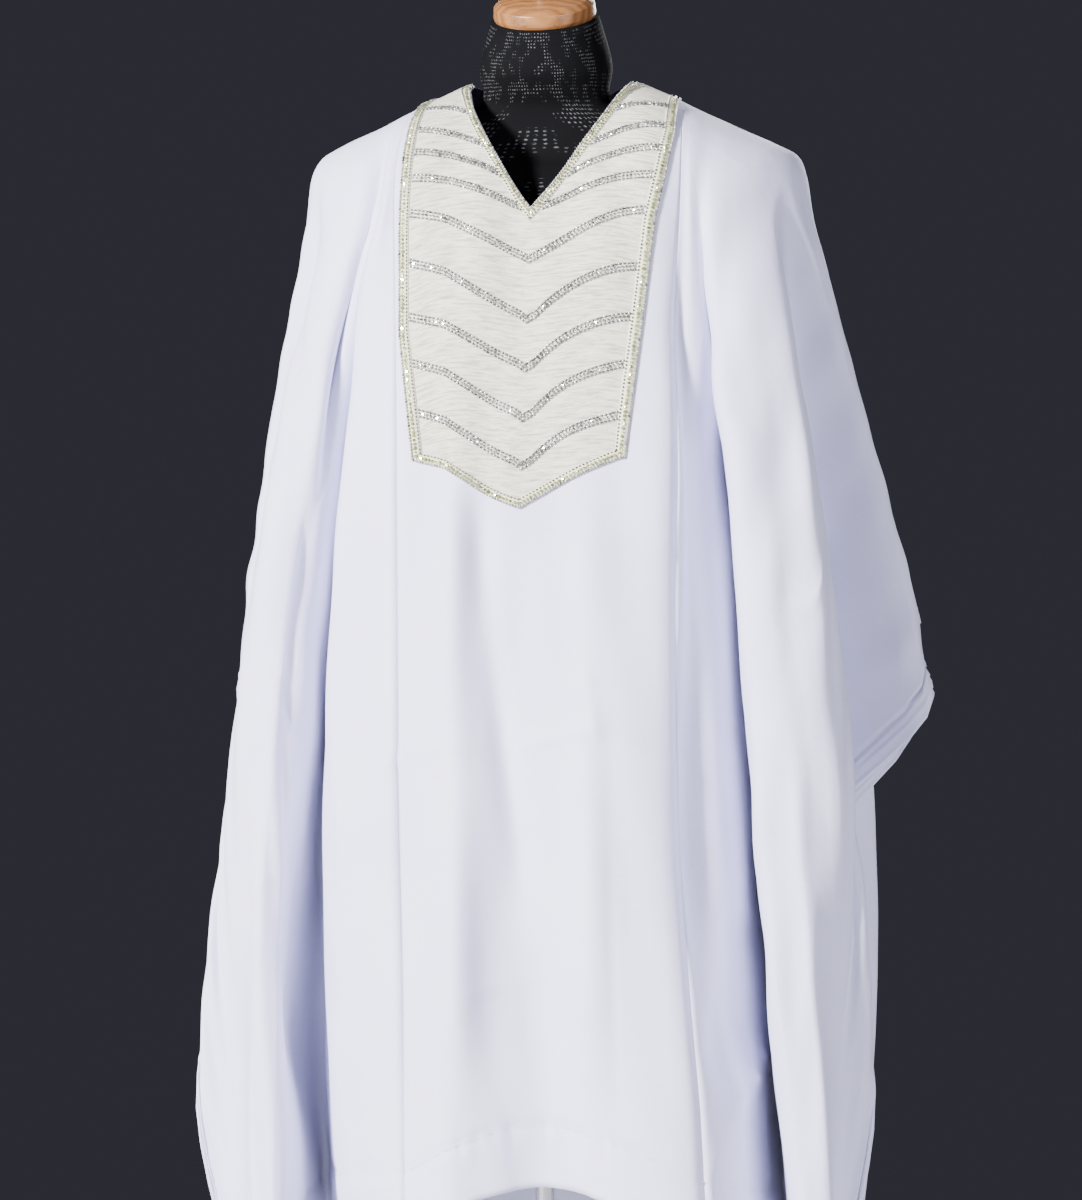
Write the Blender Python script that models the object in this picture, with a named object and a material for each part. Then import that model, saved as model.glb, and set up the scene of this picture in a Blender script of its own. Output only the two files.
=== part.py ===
"""Grand boubou robe, worn open over a limbless dress form on a pole stand.

Metres, +Z up. The robe faces -Y and the pole stands on the origin. One rectangle of cloth, with a
neck hole in its middle, lies over the shoulders: a front layer and a back layer hang from the
shoulder line, and the width past the shoulders falls in deep folds that end in the sleeve edges.

Each layer is a sheet stretched over its fold lines. A fold line starts on the shoulder line, rolls
over the shoulder to the yoke, and hangs from there past a middle point to the edge of the cloth.
"""

import math
from collections import namedtuple

import bmesh
import bpy
import numpy as np

# --- the cut of the robe, laid flat -----------------------------------------------------------
HALF_WIDTH = 0.745  # neck centre to sleeve edge
FRONT_LENGTH = 1.14  # shoulder line to front hem, down the middle
BACK_LENGTH = 1.215
HEM_DIP = 0.040  # how much further down the hem is at the sides
HEM_DIP_WITHIN = 0.20  # from the middle
SHOULDER_RUN = 0.25  # neck centre to shoulder tip, along the shoulder line
NECK_HALF = 0.094
FRONT_NECK_DROP = 0.186  # depth of the V
V_CURVE = 1.8  # with 1 its edges would be straight
BACK_NECK_DROP = 0.050
BOTTOM_HEM = 0.060
SIDE_HEM = 0.027

# --- cloth ------------------------------------------------------------------------------------
WALL = 0.0016
HEM_WALL = 0.0020  # at the edge, where the turned hem lies double
SEAM_GAP = 0.0003
SEAM_PULL = 0.0002  # each side of a seam

CLOTH_COLOUR = (0.90, 0.90, 0.94)
BIB_COLOUR = (0.93, 0.91, 0.83)
TRIM_COLOUR = (0.86, 0.85, 0.68)
BRAID_COLOUR = (0.72, 0.72, 0.76)

# --- how the cloth lies on the shoulders --------------------------------------------------------
SHOULDER_SPREAD = {-1: 0.90, 1: 0.98}  # sideways share of a run along the shoulder line
SHOULDER_Y = 0.027
SHOULDER_TOP_Z = 1.488  # beside the neck
SHOULDER_FALL = math.tan(math.radians(25))
YOKE_HALF_WIDTH = {-1: 0.245, 1: 0.264}
YOKE_Y = 0.020
YOKE_FRONT_DEPTH = 0.125
YOKE_BACK_DEPTH = 0.120
YOKE_SQUARENESS = 2.2
YOKE_CENTRE_Z = 1.26
YOKE_SIDE_Z = 1.36
YOKE_RISE = 0.6  # the share of the way to the side where it has risen to that
MIDDLE = 0.45  # where the middle point is, from yoke to edge

# --- the bib: measured down the cloth from the shoulder line -------------------------------------
BIB_WALL = 0.0010
TRIM_WALL = 0.0012
TRIM_GAP = 0.0003  # also under and beside everything laid on the panel
BORDER = 0.0100
V_BORDER_DROP = 1.3 * BORDER  # the border is deeper under the point of the V
STRIPE = 0.0095
BibEdge = namedtuple("BibEdge", "drop left right")  # distance from the centre to its side edges
BIB_EDGES = (
    BibEdge(0.00, 0.1365, 0.1365),
    BibEdge(0.10, 0.1350, 0.1345),
    BibEdge(0.15, 0.1345, 0.1280),
    BibEdge(0.20, 0.1355, 0.1205),
    BibEdge(0.30, 0.1360, 0.1120),
    BibEdge(0.44, 0.1235, 0.1000),
)
# Drops of a stripe's middle, at the V or the centre and at either edge, and how far down it bows.
Stripe = namedtuple("Stripe", "inner left right left_bow right_bow")
STRIPES = (
    Stripe(0.0760, 0.053, 0.054, 0.000, 0.000),
    Stripe(0.1185, 0.093, 0.092, 0.000, 0.000),
    Stripe(0.1490, 0.122, 0.123, 0.000, 0.000),
    Stripe(0.1795, 0.150, 0.154, 0.002, 0.000),
    Stripe(0.2390, 0.182, 0.189, 0.005, -0.001),
    Stripe(0.2985, 0.228, 0.246, 0.008, -0.007),
    Stripe(0.3465, 0.282, 0.297, 0.008, -0.008),
    Stripe(0.3955, 0.328, 0.344, 0.009, -0.008),
    Stripe(0.4425, 0.379, 0.395, 0.009, -0.007),
)
BIB_BOTTOM = Stripe(0.484, 0.432, 0.440, 0.010, 0.000)
BOW_FALL = {-1: 1, 1: 2}  # 1 bows evenly, and 2 most near the centre
SHOULDER_ROW = (0.030, 0.022, 0.0)  # the mesh's row between the shoulder line and the first stripe
SPLIT_STRIPES = 4  # the stripes above the point of the V, each in two arms

# --- mesh ---------------------------------------------------------------------------------------
TURN_POINTS = 12  # over the shoulder
HANG_POINTS = 45  # from the yoke to the edge
EASE_ROUNDS = 6
LENGTH_ROUNDS = 8
PATH_POINTS = 81
LEAST_GAP = 1e-5
LEAST_LEAN = 0.7  # how far a sharp fold lengthens a normal
LEAST_FACING = 0.10  # how far a normal may lean from any face it belongs to
AIM_ROUNDS = 8
BIB_COLUMNS = 6  # from the V or the centre to the bib's side edge
BACK_NECK_COLUMNS = 3
ROWS_BELOW_BIB = 5

# A station is a fold line's place in the cut: where it starts along the shoulder line, and where it
# ends on the cloth's edge, across the hem and then up the side (0 is the corner, 1 the shoulder line).
# The mesh has columns on the stations and, between each and the next, at these parts of the way.
Station = namedtuple("Station", "start across up columns_on")
STATIONS = (
    Station(0.140, 0.165, 0.00, (0.5,)),  # seam
    Station(0.147, 0.280, 0.00, (0.8,)),  # slope
    Station(0.155, 0.420, 0.00, (0.2,)),  # valley
    Station(0.165, 0.580, 0.00, (0.4,)),  # inner ridge
    Station(0.180, 0.680, 0.00, ()),  # face
    Station(0.197, HALF_WIDTH, 0.00, (0.6,)),  # corner
    Station(0.214, HALF_WIDTH, 0.28, (0.25, 0.8)),  # outer ridge
    Station(0.229, HALF_WIDTH, 0.57, (0.3,)),  # outer valley
    Station(0.240, HALF_WIDTH, 0.74, (0.4,)),  # sleeve fold
    Station(0.246, HALF_WIDTH, 0.90, ()),  # tuck
    Station(0.250, HALF_WIDTH, 1.00, ()),  # crown
)

# Where each station's fold line hangs: outwards from the pole and back (+Y), at its middle point
# and at the cloth's edge. The crown is the sleeve's top fold, and both layers share it.
Hang = namedtuple("Hang", "mid_out mid_y edge_out edge_y")
RIGHT_FRONT = (
    Hang(0.153, -0.130, 0.184, -0.165),  # seam
    Hang(0.180, -0.100, 0.216, -0.110),  # slope
    Hang(0.204, -0.010, 0.240, 0.050),  # valley
    Hang(0.219, -0.110, 0.286, -0.150),  # inner ridge
    Hang(0.255, -0.130, 0.310, -0.128),  # face
    Hang(0.277, -0.120, 0.288, -0.070),  # corner
    Hang(0.297, -0.080, 0.334, -0.062),  # outer ridge
    Hang(0.262, 0.020, 0.280, 0.026),  # outer valley
    Hang(0.323, 0.010, 0.385, 0.010),  # sleeve fold
    Hang(0.290, 0.045, 0.330, 0.055),  # tuck
    Hang(0.311, 0.060, 0.369, 0.090),  # crown
)
LEFT_FRONT = (
    Hang(0.126, -0.125, 0.116, -0.140),  # seam
    Hang(0.200, -0.080, 0.174, -0.090),  # slope
    Hang(0.217, 0.000, 0.232, 0.050),  # valley
    Hang(0.234, -0.070, 0.250, -0.124),  # inner ridge
    Hang(0.256, -0.085, 0.276, -0.102),  # face
    Hang(0.275, -0.075, 0.278, -0.050),  # corner
    Hang(0.292, -0.035, 0.350, -0.030),  # outer ridge
    Hang(0.236, 0.022, 0.244, 0.026),  # outer valley
    Hang(0.288, 0.026, 0.325, 0.040),  # sleeve fold
    Hang(0.250, 0.050, 0.272, 0.074),  # tuck
    Hang(0.282, 0.074, 0.320, 0.108),  # crown
)
RIGHT_BACK = (
    Hang(0.150, 0.172, 0.160, 0.205),  # seam
    Hang(0.187, 0.165, 0.200, 0.200),  # slope
    Hang(0.216, 0.070, 0.228, 0.090),  # valley
    Hang(0.240, 0.190, 0.248, 0.250),  # inner ridge
    Hang(0.254, 0.208, 0.264, 0.268),  # face
    Hang(0.268, 0.204, 0.268, 0.222),  # corner
    Hang(0.302, 0.164, 0.309, 0.184),  # outer ridge
    Hang(0.254, 0.118, 0.262, 0.130),  # outer valley
    Hang(0.314, 0.112, 0.360, 0.148),  # sleeve fold
    Hang(0.272, 0.084, 0.320, 0.112),  # tuck
    Hang(0.311, 0.060, 0.369, 0.090),  # crown
)
LEFT_BACK = (
    Hang(0.145, 0.172, 0.150, 0.208),  # seam
    Hang(0.180, 0.165, 0.190, 0.200),  # slope
    Hang(0.205, 0.070, 0.216, 0.090),  # valley
    Hang(0.228, 0.188, 0.234, 0.245),  # inner ridge
    Hang(0.241, 0.206, 0.252, 0.264),  # face
    Hang(0.252, 0.204, 0.264, 0.215),  # corner
    Hang(0.286, 0.164, 0.325, 0.190),  # outer ridge
    Hang(0.232, 0.122, 0.244, 0.134),  # outer valley
    Hang(0.288, 0.118, 0.328, 0.160),  # sleeve fold
    Hang(0.250, 0.089, 0.284, 0.115),  # tuck
    Hang(0.282, 0.074, 0.320, 0.108),  # crown
)

# Fold lines between the seams: start along the shoulder line, end across the hem, and where they hang.
Middle = namedtuple("Middle", "start across mid_x mid_y edge_x edge_y")
FRONT_MIDDLE = (
    Middle(-0.085, -0.100, -0.074, -0.138, -0.068, -0.165),
    Middle(0.000, 0.000, -0.006, -0.133, 0.020, -0.140),
    Middle(0.085, 0.095, 0.094, -0.140, 0.115, -0.172),
)
BACK_MIDDLE = (
    Middle(-0.085, -0.100, -0.085, 0.172, -0.090, 0.205),
    Middle(0.000, 0.000, 0.000, 0.160, 0.000, 0.175),
    Middle(0.085, 0.095, 0.085, 0.174, 0.090, 0.208),
)


def shoulder_point(start):
    """A point of the shoulder line, this far along it from the neck centre."""
    spread = SHOULDER_SPREAD[-1 if start < 0 else 1]
    past_neck = max(0.0, abs(start) - NECK_HALF) * spread
    return np.array((start * spread, SHOULDER_Y, SHOULDER_TOP_Z - past_neck * SHOULDER_FALL))


def smoothstep(value):
    value = min(1.0, max(0.0, value))
    return value * value * (3 - 2 * value)


def yoke_point(start, front):
    """Where the fold line that starts there comes round onto the front or back of the yoke."""
    reach = start / SHOULDER_RUN
    round_in = max(0.0, 1 - abs(reach) ** YOKE_SQUARENESS) ** (1 / YOKE_SQUARENESS)
    depth = -YOKE_FRONT_DEPTH if front else YOKE_BACK_DEPTH
    rise = smoothstep(abs(reach) / YOKE_RISE)
    z = YOKE_CENTRE_Z + (YOKE_SIDE_Z - YOKE_CENTRE_Z) * rise
    half_width = YOKE_HALF_WIDTH[-1 if start < 0 else 1]
    return np.array((half_width * reach, YOKE_Y + depth * round_in, z))


def hanging_path(start, front, mid, edge):
    """Points from the shoulder line over the yoke, past the middle point, to the edge."""
    top, yoke = shoulder_point(start), yoke_point(start, front)
    turn = np.linspace(0, math.pi / 2, TURN_POINTS)[:-1, None]
    over = np.hstack(
        (
            top[:2] + (yoke[:2] - top[:2]) * np.sin(turn),
            yoke[2:] + (top[2:] - yoke[2:]) * np.cos(turn),
        )
    )
    down = np.linspace(0, 1, HANG_POINTS)[:, None]
    at_yoke = (down - MIDDLE) * (down - 1) / MIDDLE
    at_mid = down * (1 - down) / (MIDDLE * (1 - MIDDLE))
    at_edge = down * (down - MIDDLE) / (1 - MIDDLE)
    below = np.hstack(
        (
            yoke[:2] * at_yoke + np.array(mid) * at_mid + edge[:2] * at_edge,
            yoke[2:] + (edge[2:] - yoke[2:]) * down,
        )
    )
    path = np.vstack((over, below))
    for _ in range(EASE_ROUNDS):  # takes the kink out at the yoke
        path[1:-1] = (path[:-2] + 2 * path[1:-1] + path[2:]) / 4
    return path


def run_along(path):
    return np.concatenate(([0], np.cumsum(np.linalg.norm(np.diff(path, axis=0), axis=1))))


def fold_line(start, front, across, down, mid, edge_xy):
    """PATH_POINTS points, evenly spaced down the cloth, of a fold line as long as its flat cut."""
    flat = math.hypot(across - start, down)
    edge_z = SHOULDER_TOP_Z - flat
    for _ in range(LENGTH_ROUNDS):  # hangs the edge where the whole path has the flat length
        path = hanging_path(start, front, mid, np.array((*edge_xy, edge_z)))
        edge_z += run_along(path)[-1] - flat
    run = run_along(path)
    even = np.linspace(0, run[-1], PATH_POINTS)
    return np.stack([np.interp(even, run, path[:, k]) for k in range(3)], axis=1)


def cut_length(across, front):
    """How far down the hem is, from the shoulder line, this far across."""
    out = min(1.0, abs(across) / HEM_DIP_WITHIN)
    return (FRONT_LENGTH if front else BACK_LENGTH) + HEM_DIP * math.sin(out * math.pi / 2)


Line = namedtuple("Line", "start length hem points")


class Robe:
    """The whole cloth as one tube: fold lines round it from the left crown, front first.

    A column is a place between fold lines, counted from the left crown. A share is a place down
    them, from the shoulder line (0) to the edge (1).
    """

    def __init__(self):
        halves = (
            self.side_lines(-1, LEFT_FRONT, True)[::-1],
            self.middle_lines(FRONT_MIDDLE, True),
            self.side_lines(1, RIGHT_FRONT, True),
            self.side_lines(1, RIGHT_BACK, False)[-2::-1],
            self.middle_lines(BACK_MIDDLE, False)[::-1],
            self.side_lines(-1, LEFT_BACK, False)[:-1],
        )
        self.lines = [line for half in halves for line in half]
        self.paths = np.array([line.points for line in self.lines])
        ahead = np.roll(self.paths, -1, axis=0) - self.paths
        after = np.linalg.norm(ahead, axis=2, keepdims=True) + LEAST_GAP
        self.gaps = after
        before = np.roll(after, 1, axis=0)
        slope_out = ahead / after
        slope_in = np.roll(slope_out, 1, axis=0)
        self.tangents = (slope_in * after + slope_out * before) / (before + after)

    def side_lines(self, side, hangs, front):
        lines = []
        for station, hang in zip(STATIONS, hangs):
            down = cut_length(station.across, front) * (1 - station.up)
            start, across = side * station.start, side * station.across
            mid, edge = (side * hang.mid_out, hang.mid_y), (side * hang.edge_out, hang.edge_y)
            points = fold_line(start, front, across, down, mid, edge)
            hem = BOTTOM_HEM if station.across < HALF_WIDTH else SIDE_HEM
            lines.append(Line(start, math.hypot(across - start, down), hem, points))
        return lines

    def middle_lines(self, middles, front):
        lines = []
        for m in middles:
            down = cut_length(m.across, front)
            mid, edge = (m.mid_x, m.mid_y), (m.edge_x, m.edge_y)
            points = fold_line(m.start, front, m.across, down, mid, edge)
            length = math.hypot(m.across - m.start, down)
            lines.append(Line(m.start, length, BOTTOM_HEM, points))
        return lines

    def sheet(self, column, share):
        """Points of the middle of the cloth."""
        column, share = np.broadcast_arrays(column, share)
        low = np.floor(column).astype(int)
        f = (column - low)[..., None]
        low = low % len(self.lines)
        high = (low + 1) % len(self.lines)
        at = np.clip(share, 0, 1) * (PATH_POINTS - 1)
        step = np.minimum(at.astype(int), PATH_POINTS - 2)
        g = (at - step)[..., None]

        def down(values, line):
            return values[line, step] * (1 - g) + values[line, step + 1] * g

        bend = down(self.tangents, low) * (1 - f) - down(self.tangents, high) * f
        return (
            down(self.paths, low) * (1 + 2 * f) * (1 - f) ** 2
            + down(self.paths, high) * f * f * (3 - 2 * f)
            + bend * down(self.gaps, low) * f * (1 - f)
        )

    def value(self, column, field):
        """A number of the fold lines, at a place between them."""
        numbers = [getattr(line, field) for line in self.lines]
        return np.interp(column, range(len(numbers) + 1), numbers + numbers[:1])


# Columns where the panels meet: the seams, in front and behind, on the left (-1) and right (1).
SIDE_LINES = len(STATIONS)
FRONT_SEAM = {-1: SIDE_LINES - 1, 1: SIDE_LINES + 3}
RIGHT_CROWN = FRONT_SEAM[1] + SIDE_LINES - 1
BACK_SEAM = {1: RIGHT_CROWN + SIDE_LINES - 1, -1: RIGHT_CROWN + SIDE_LINES + 3}
ALL_LINES = BACK_SEAM[-1] + SIDE_LINES - 1


def middle_column(start, front):
    """The column of the centre panel that starts here along the shoulder line."""
    seam = STATIONS[0].start
    starts = (-seam, -NECK_HALF, 0.0, NECK_HALF, seam)
    if front:
        return np.interp(start, starts, range(FRONT_SEAM[-1], FRONT_SEAM[1] + 1))
    return np.interp(-np.asarray(start), starts, range(BACK_SEAM[1], BACK_SEAM[-1] + 1))


# --- building: grids of the cloth ----------------------------------------------------------------
def v_half(drop):
    """Half the width of the neck's V, this far down the cloth."""
    return NECK_HALF * (1 - np.minimum(drop / FRONT_NECK_DROP, 1) ** V_CURVE)


def v_slant(drop):
    """How fast the V's edge runs in towards the centre there."""
    slant = NECK_HALF * V_CURVE / FRONT_NECK_DROP * (drop / FRONT_NECK_DROP) ** (V_CURVE - 1)
    return np.where(drop <= FRONT_NECK_DROP, slant, 0.0)


def beside_v(rows, edge):
    """Starts and drops of a border's width out from the V, square to it, or from the centre."""
    inner, slant = v_half(rows[:, 0]), v_slant(rows[:, 0])
    square = 1 / np.hypot(1, slant)
    start = inner + BORDER * square
    along_row = (rows[:, 1] - rows[:, 0]) * (start - inner) / (edge - inner)
    sag = np.where(rows[:, 0] <= FRONT_NECK_DROP, BORDER * slant * square, along_row)
    return start, rows[:, 0] + sag


def bib_rows(side):
    """Rows from shoulder to bib bottom: drop at the V or centre, drop at the side edge, and bow."""

    def row(stripe):
        ends = (stripe.left, stripe.left_bow) if side < 0 else (stripe.right, stripe.right_bow)
        return np.array((stripe.inner, *ends))

    half = np.array((STRIPE, STRIPE, 0)) / 2
    rows = [np.zeros(3), np.array(SHOULDER_ROW)]
    for k, stripe in enumerate(STRIPES):
        if k == SPLIT_STRIPES:
            between = (row(STRIPES[k - 1]) + row(stripe)) / 2
            rows.append(np.array((FRONT_NECK_DROP, between[1] - BORDER / 2, between[2])))
            rows.append(rows[-1] + (V_BORDER_DROP, BORDER, 0))
        rows += [row(stripe) - half, row(stripe) + half]
    rows += [row(BIB_BOTTOM) - (BORDER, BORDER, 0), row(BIB_BOTTOM)]
    return np.array(rows)


def bow_shape(out, side):
    """The share of its bow that a row has, this share of the way out; most is 1."""
    fall = BOW_FALL[side]
    most = fall**fall / (1 + fall) ** (1 + fall)
    return out * (1 - out) ** fall / most


BIB_ROWS = len(bib_rows(1))
APEX_ROW = 2 * SPLIT_STRIPES + 2


def stripe_row(k):
    """The row at the top of a stripe."""
    return 2 + 2 * k + (2 if k >= SPLIT_STRIPES else 0)


def rows_down(upper, stitch, end):
    """All the rows of some columns: the bib's rows, rows down to the hem's stitching, the edge."""
    last = upper[:, -1:]
    steps = np.linspace(0, 1, ROWS_BELOW_BIB + 1)[None, 1:]
    return np.hstack((upper, last + (stitch[:, None] - last) * steps, end[:, None]))


def seam_shares(robe, side):
    """The rows' shares down the seam, which the side panels take all the way round."""
    seam = robe.lines[FRONT_SEAM[side]]
    drops = bib_rows(side)[None, :, 1]
    return rows_down(drops, np.array([seam.length - seam.hem]), np.array([seam.length]))[0] / seam.length


def side_grid(robe, side):
    """The side panel: from its front seam round the sleeve's top fold to its back seam, or back."""
    first = FRONT_SEAM[1] if side > 0 else BACK_SEAM[-1]
    out = [k + part for k, s in enumerate(STATIONS) for part in (0, *s.columns_on)]
    back = [2 * (len(STATIONS) - 1) - place for place in out[-2::-1]]
    columns = np.array([first + place for place in out + back], float)
    place = columns % ALL_LINES
    stitch = 1 - robe.value(place, "hem") / robe.value(place, "length")
    upper = np.tile(seam_shares(robe, side)[:BIB_ROWS], (len(columns), 1))
    shares = rows_down(upper, stitch, np.ones(len(columns)))
    grid = robe.sheet(place[:, None], shares)
    grid[:, 0] = [shoulder_point(start) for start in robe.value(place, "start")]
    return grid


def front_grid(robe, side):
    """Half the centre front: from the V or the centre, over the bib's side edge, to the seam."""
    rows = bib_rows(side)
    edges = np.array(BIB_EDGES)
    edge = np.interp(rows[:, 1], edges[:, 0], edges[:, 1 if side < 0 else 2])
    beside, beside_drop = beside_v(rows, edge)
    even = np.linspace(0, 1, BIB_COLUMNS - 1)[:, None]
    starts = beside + (edge - BORDER - beside) * even
    out = (starts - beside) / (edge - beside)
    drops = beside_drop + (rows[:, 1] - beside_drop) * out + rows[:, 2] * bow_shape(out, side)
    starts = np.vstack((v_half(rows[:, 0]), starts, edge))
    drops = np.vstack((rows[:, 0], drops, rows[:, 1]))
    seam = np.full((1, len(rows)), STATIONS[0].start)
    starts, drops = np.vstack((starts, seam)), np.vstack((drops, rows[:, 1]))
    starts = np.hstack((starts, np.repeat(starts[:, -1:], ROWS_BELOW_BIB + 1, axis=1)))
    columns = middle_column(side * starts, True)
    lengths = robe.value(columns, "length")
    drops = rows_down(drops, lengths[:, -1] - BOTTOM_HEM, lengths[:, -1])
    grid = robe.sheet(columns, drops / lengths)
    for i, start in enumerate(starts[:, 0]):
        grid[i, 0] = shoulder_point(side * start)
    return grid[::-1] if side < 0 else grid


def back_grid(robe):
    """The centre back, from the right seam to the left one."""
    halves = []
    for side in (1, -1):
        edges = BIB_EDGES[0]
        edge = edges.left if side < 0 else edges.right
        laid = np.linspace(NECK_HALF + BORDER, edge - BORDER, BIB_COLUMNS - 1)
        outer = np.concatenate(([NECK_HALF], laid, [edge, STATIONS[0].start]))
        neck = np.linspace(0, NECK_HALF, BACK_NECK_COLUMNS + 1)[:-1]
        starts = side * np.concatenate((neck, outer))
        columns = middle_column(starts, False)
        share = seam_shares(robe, side)
        drop = BACK_NECK_DROP * np.maximum(0, 1 - (starts / NECK_HALF) ** 2)
        first = (drop / robe.value(columns, "length"))[:, None]
        shares = first + (1 - first) * share
        grid = robe.sheet(columns[:, None], shares)
        for i, start in enumerate(starts):
            if abs(start) >= NECK_HALF:
                grid[i, 0] = shoulder_point(start)
        halves.append(grid)
    right, left = halves
    middle = (right[:1] + left[:1]) / 2
    return np.vstack((right[:0:-1], middle, left[1:]))


class Sheet:
    """The middle of the cloth as shared points: its grids, and how it faces at every point."""

    def __init__(self, grids):
        self.points, found, self.ids = [], {}, {}
        for name, grid in grids.items():
            ids = np.empty(grid.shape[:2], int)
            for place in np.ndindex(ids.shape):
                key = tuple(np.round(grid[place], 7))
                if key not in found:
                    found[key] = len(self.points)
                    self.points.append(grid[place])
                ids[place] = found[key]
            self.ids[name] = ids
        self.points = np.array(self.points)
        self.wall = np.full(len(self.points), WALL)
        for ids in self.ids.values():
            self.wall[ids[:, -1]] = HEM_WALL
        self.aim()

    def aim(self):
        """Normals, lengthened where the cloth bends so that the wall keeps its thickness."""
        corners = np.array([t for ids in self.ids.values() for t in self.triangles(ids)])
        total, angles, leans = np.zeros_like(self.points), *np.zeros((2, len(self.points)))
        shares = []
        for k in range(3):
            a, b, c = (self.points[corners[:, (k + turn) % 3]] for turn in range(3))
            to_b = (b - a) / np.linalg.norm(b - a, axis=1, keepdims=True)
            to_c = (c - a) / np.linalg.norm(c - a, axis=1, keepdims=True)
            facing = np.cross(to_b, to_c)
            facing /= np.linalg.norm(facing, axis=1, keepdims=True)
            angle = np.arccos(np.clip((to_b * to_c).sum(axis=1), -1, 1))
            shares.append((corners[:, k], facing, angle))
        for corner, facing, angle in shares:
            np.add.at(total, corner, facing * angle[:, None])
            np.add.at(angles, corner, angle)
        normal = total / np.linalg.norm(total, axis=1, keepdims=True)
        for _ in range(AIM_ROUNDS):  # turns a normal to faces it would lie flat on
            turned_to = normal.copy()
            for corner, facing, _ in shares:
                short = np.maximum(0, LEAST_FACING - (facing * normal[corner]).sum(axis=1))
                np.add.at(turned_to, corner, facing * short[:, None])
            normal = turned_to / np.linalg.norm(turned_to, axis=1, keepdims=True)
        for corner, facing, angle in shares:
            np.add.at(leans, corner, (facing * normal[corner]).sum(axis=1) * angle)
        self.normal = normal / np.clip(leans / angles, LEAST_LEAN, 1)[:, None]

    def triangles(self, ids):
        """Two triangles a cell, split on the shorter diagonal, facing outwards."""
        for i, j in np.ndindex(ids.shape[0] - 1, ids.shape[1] - 1):
            a, b, c, d = ids[i, j], ids[i, j + 1], ids[i + 1, j + 1], ids[i + 1, j]
            split_ac = np.linalg.norm(self.points[a] - self.points[c])
            split_bd = np.linalg.norm(self.points[b] - self.points[d])
            pair = ((a, b, c), (a, c, d)) if split_ac <= split_bd else ((a, b, d), (b, c, d))
            yield from (corners for corners in pair if len(set(corners)) == 3)


def wall_mesh(sheet, patches, low, high, pulls=()):
    """A closed wall on patches of the sheet, between two heights over it.

    Each pull draws a column in towards the one beside it, to leave a gap.
    """
    triangles = [t for ids in patches for t in sheet.triangles(ids)]
    used = sorted({v for t in triangles for v in t})
    place = {v: k for k, v in enumerate(used)}
    shift = np.zeros_like(sheet.points)
    for edge, beside, distance in pulls:
        inwards = sheet.points[beside] - sheet.points[edge]
        shift[edge] += inwards * distance / np.linalg.norm(inwards, axis=-1, keepdims=True)
    points, normal = sheet.points + shift, sheet.normal
    outer = (points + normal * np.broadcast_to(high, len(points))[:, None])[used]
    inner = (points + normal * np.broadcast_to(low, len(points))[:, None])[used]
    directed = {(t[k], t[(k + 1) % 3]) for t in triangles for k in range(3)}
    rim = [(a, b) for a, b in directed if (b, a) not in directed]
    count = len(used)
    faces = [tuple(place[v] for v in t) for t in triangles]
    faces += [tuple(place[v] + count for v in t[::-1]) for t in triangles]
    for a, b in sorted(rim):
        low_a, low_b = place[a] + count, place[b] + count
        faces += [(place[b], place[a], low_a), (place[b], low_a, low_b)]
    return np.vstack((outer, inner)), faces


# --- building: objects ---------------------------------------------------------------------------
def clear_scene():
    for old in list(bpy.data.objects):
        bpy.data.objects.remove(old, do_unlink=True)


def material(name, colour, roughness, metallic=0.0, sheen=0.0):
    made = bpy.data.materials.new(name)
    made.use_nodes = True
    shader = made.node_tree.nodes["Principled BSDF"]
    shader.inputs["Base Color"].default_value = (*colour, 1)
    shader.inputs["Roughness"].default_value = roughness
    shader.inputs["Metallic"].default_value = metallic
    shader.inputs["Sheen Weight"].default_value = sheen
    made.diffuse_color = (*colour, 1)
    return made


def add_object(name, points, faces, look):
    mesh = bpy.data.meshes.new(name)
    mesh.from_pydata([tuple(p) for p in points], [], faces)
    mesh.update()
    shape = bmesh.new()
    shape.from_mesh(mesh)
    bmesh.ops.recalc_face_normals(shape, faces=shape.faces)
    shape.to_mesh(mesh)
    shape.free()
    for face in mesh.polygons:
        face.use_smooth = True
    made = bpy.data.objects.new(name, mesh)
    made.data.materials.append(look)
    bpy.context.scene.collection.objects.link(made)


def loft(rings):
    """A closed solid through rings of points, capped flat at both ends."""
    count = len(rings[0])
    points = np.vstack(rings)
    faces = [tuple(range(count))[::-1]]
    for r in range(len(rings) - 1):
        for k in range(count):
            a, b = r * count + k, r * count + (k + 1) % count
            faces.append((a, b, b + count, a + count))
    faces.append(tuple(range(len(points) - count, len(points))))
    return points, faces


def oval(section, count, squareness):
    turn = np.linspace(0, 2 * math.pi, count, endpoint=False)
    across = np.sign(np.cos(turn)) * np.abs(np.cos(turn)) ** (2 / squareness)
    along = np.sign(np.sin(turn)) * np.abs(np.sin(turn)) ** (2 / squareness)
    x = section.half_width * across
    y = section.y + section.half_depth * along
    z = np.full(count, section.z) + section.tilt * (y - section.y)
    return np.stack((x, y, z), axis=1)


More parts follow.
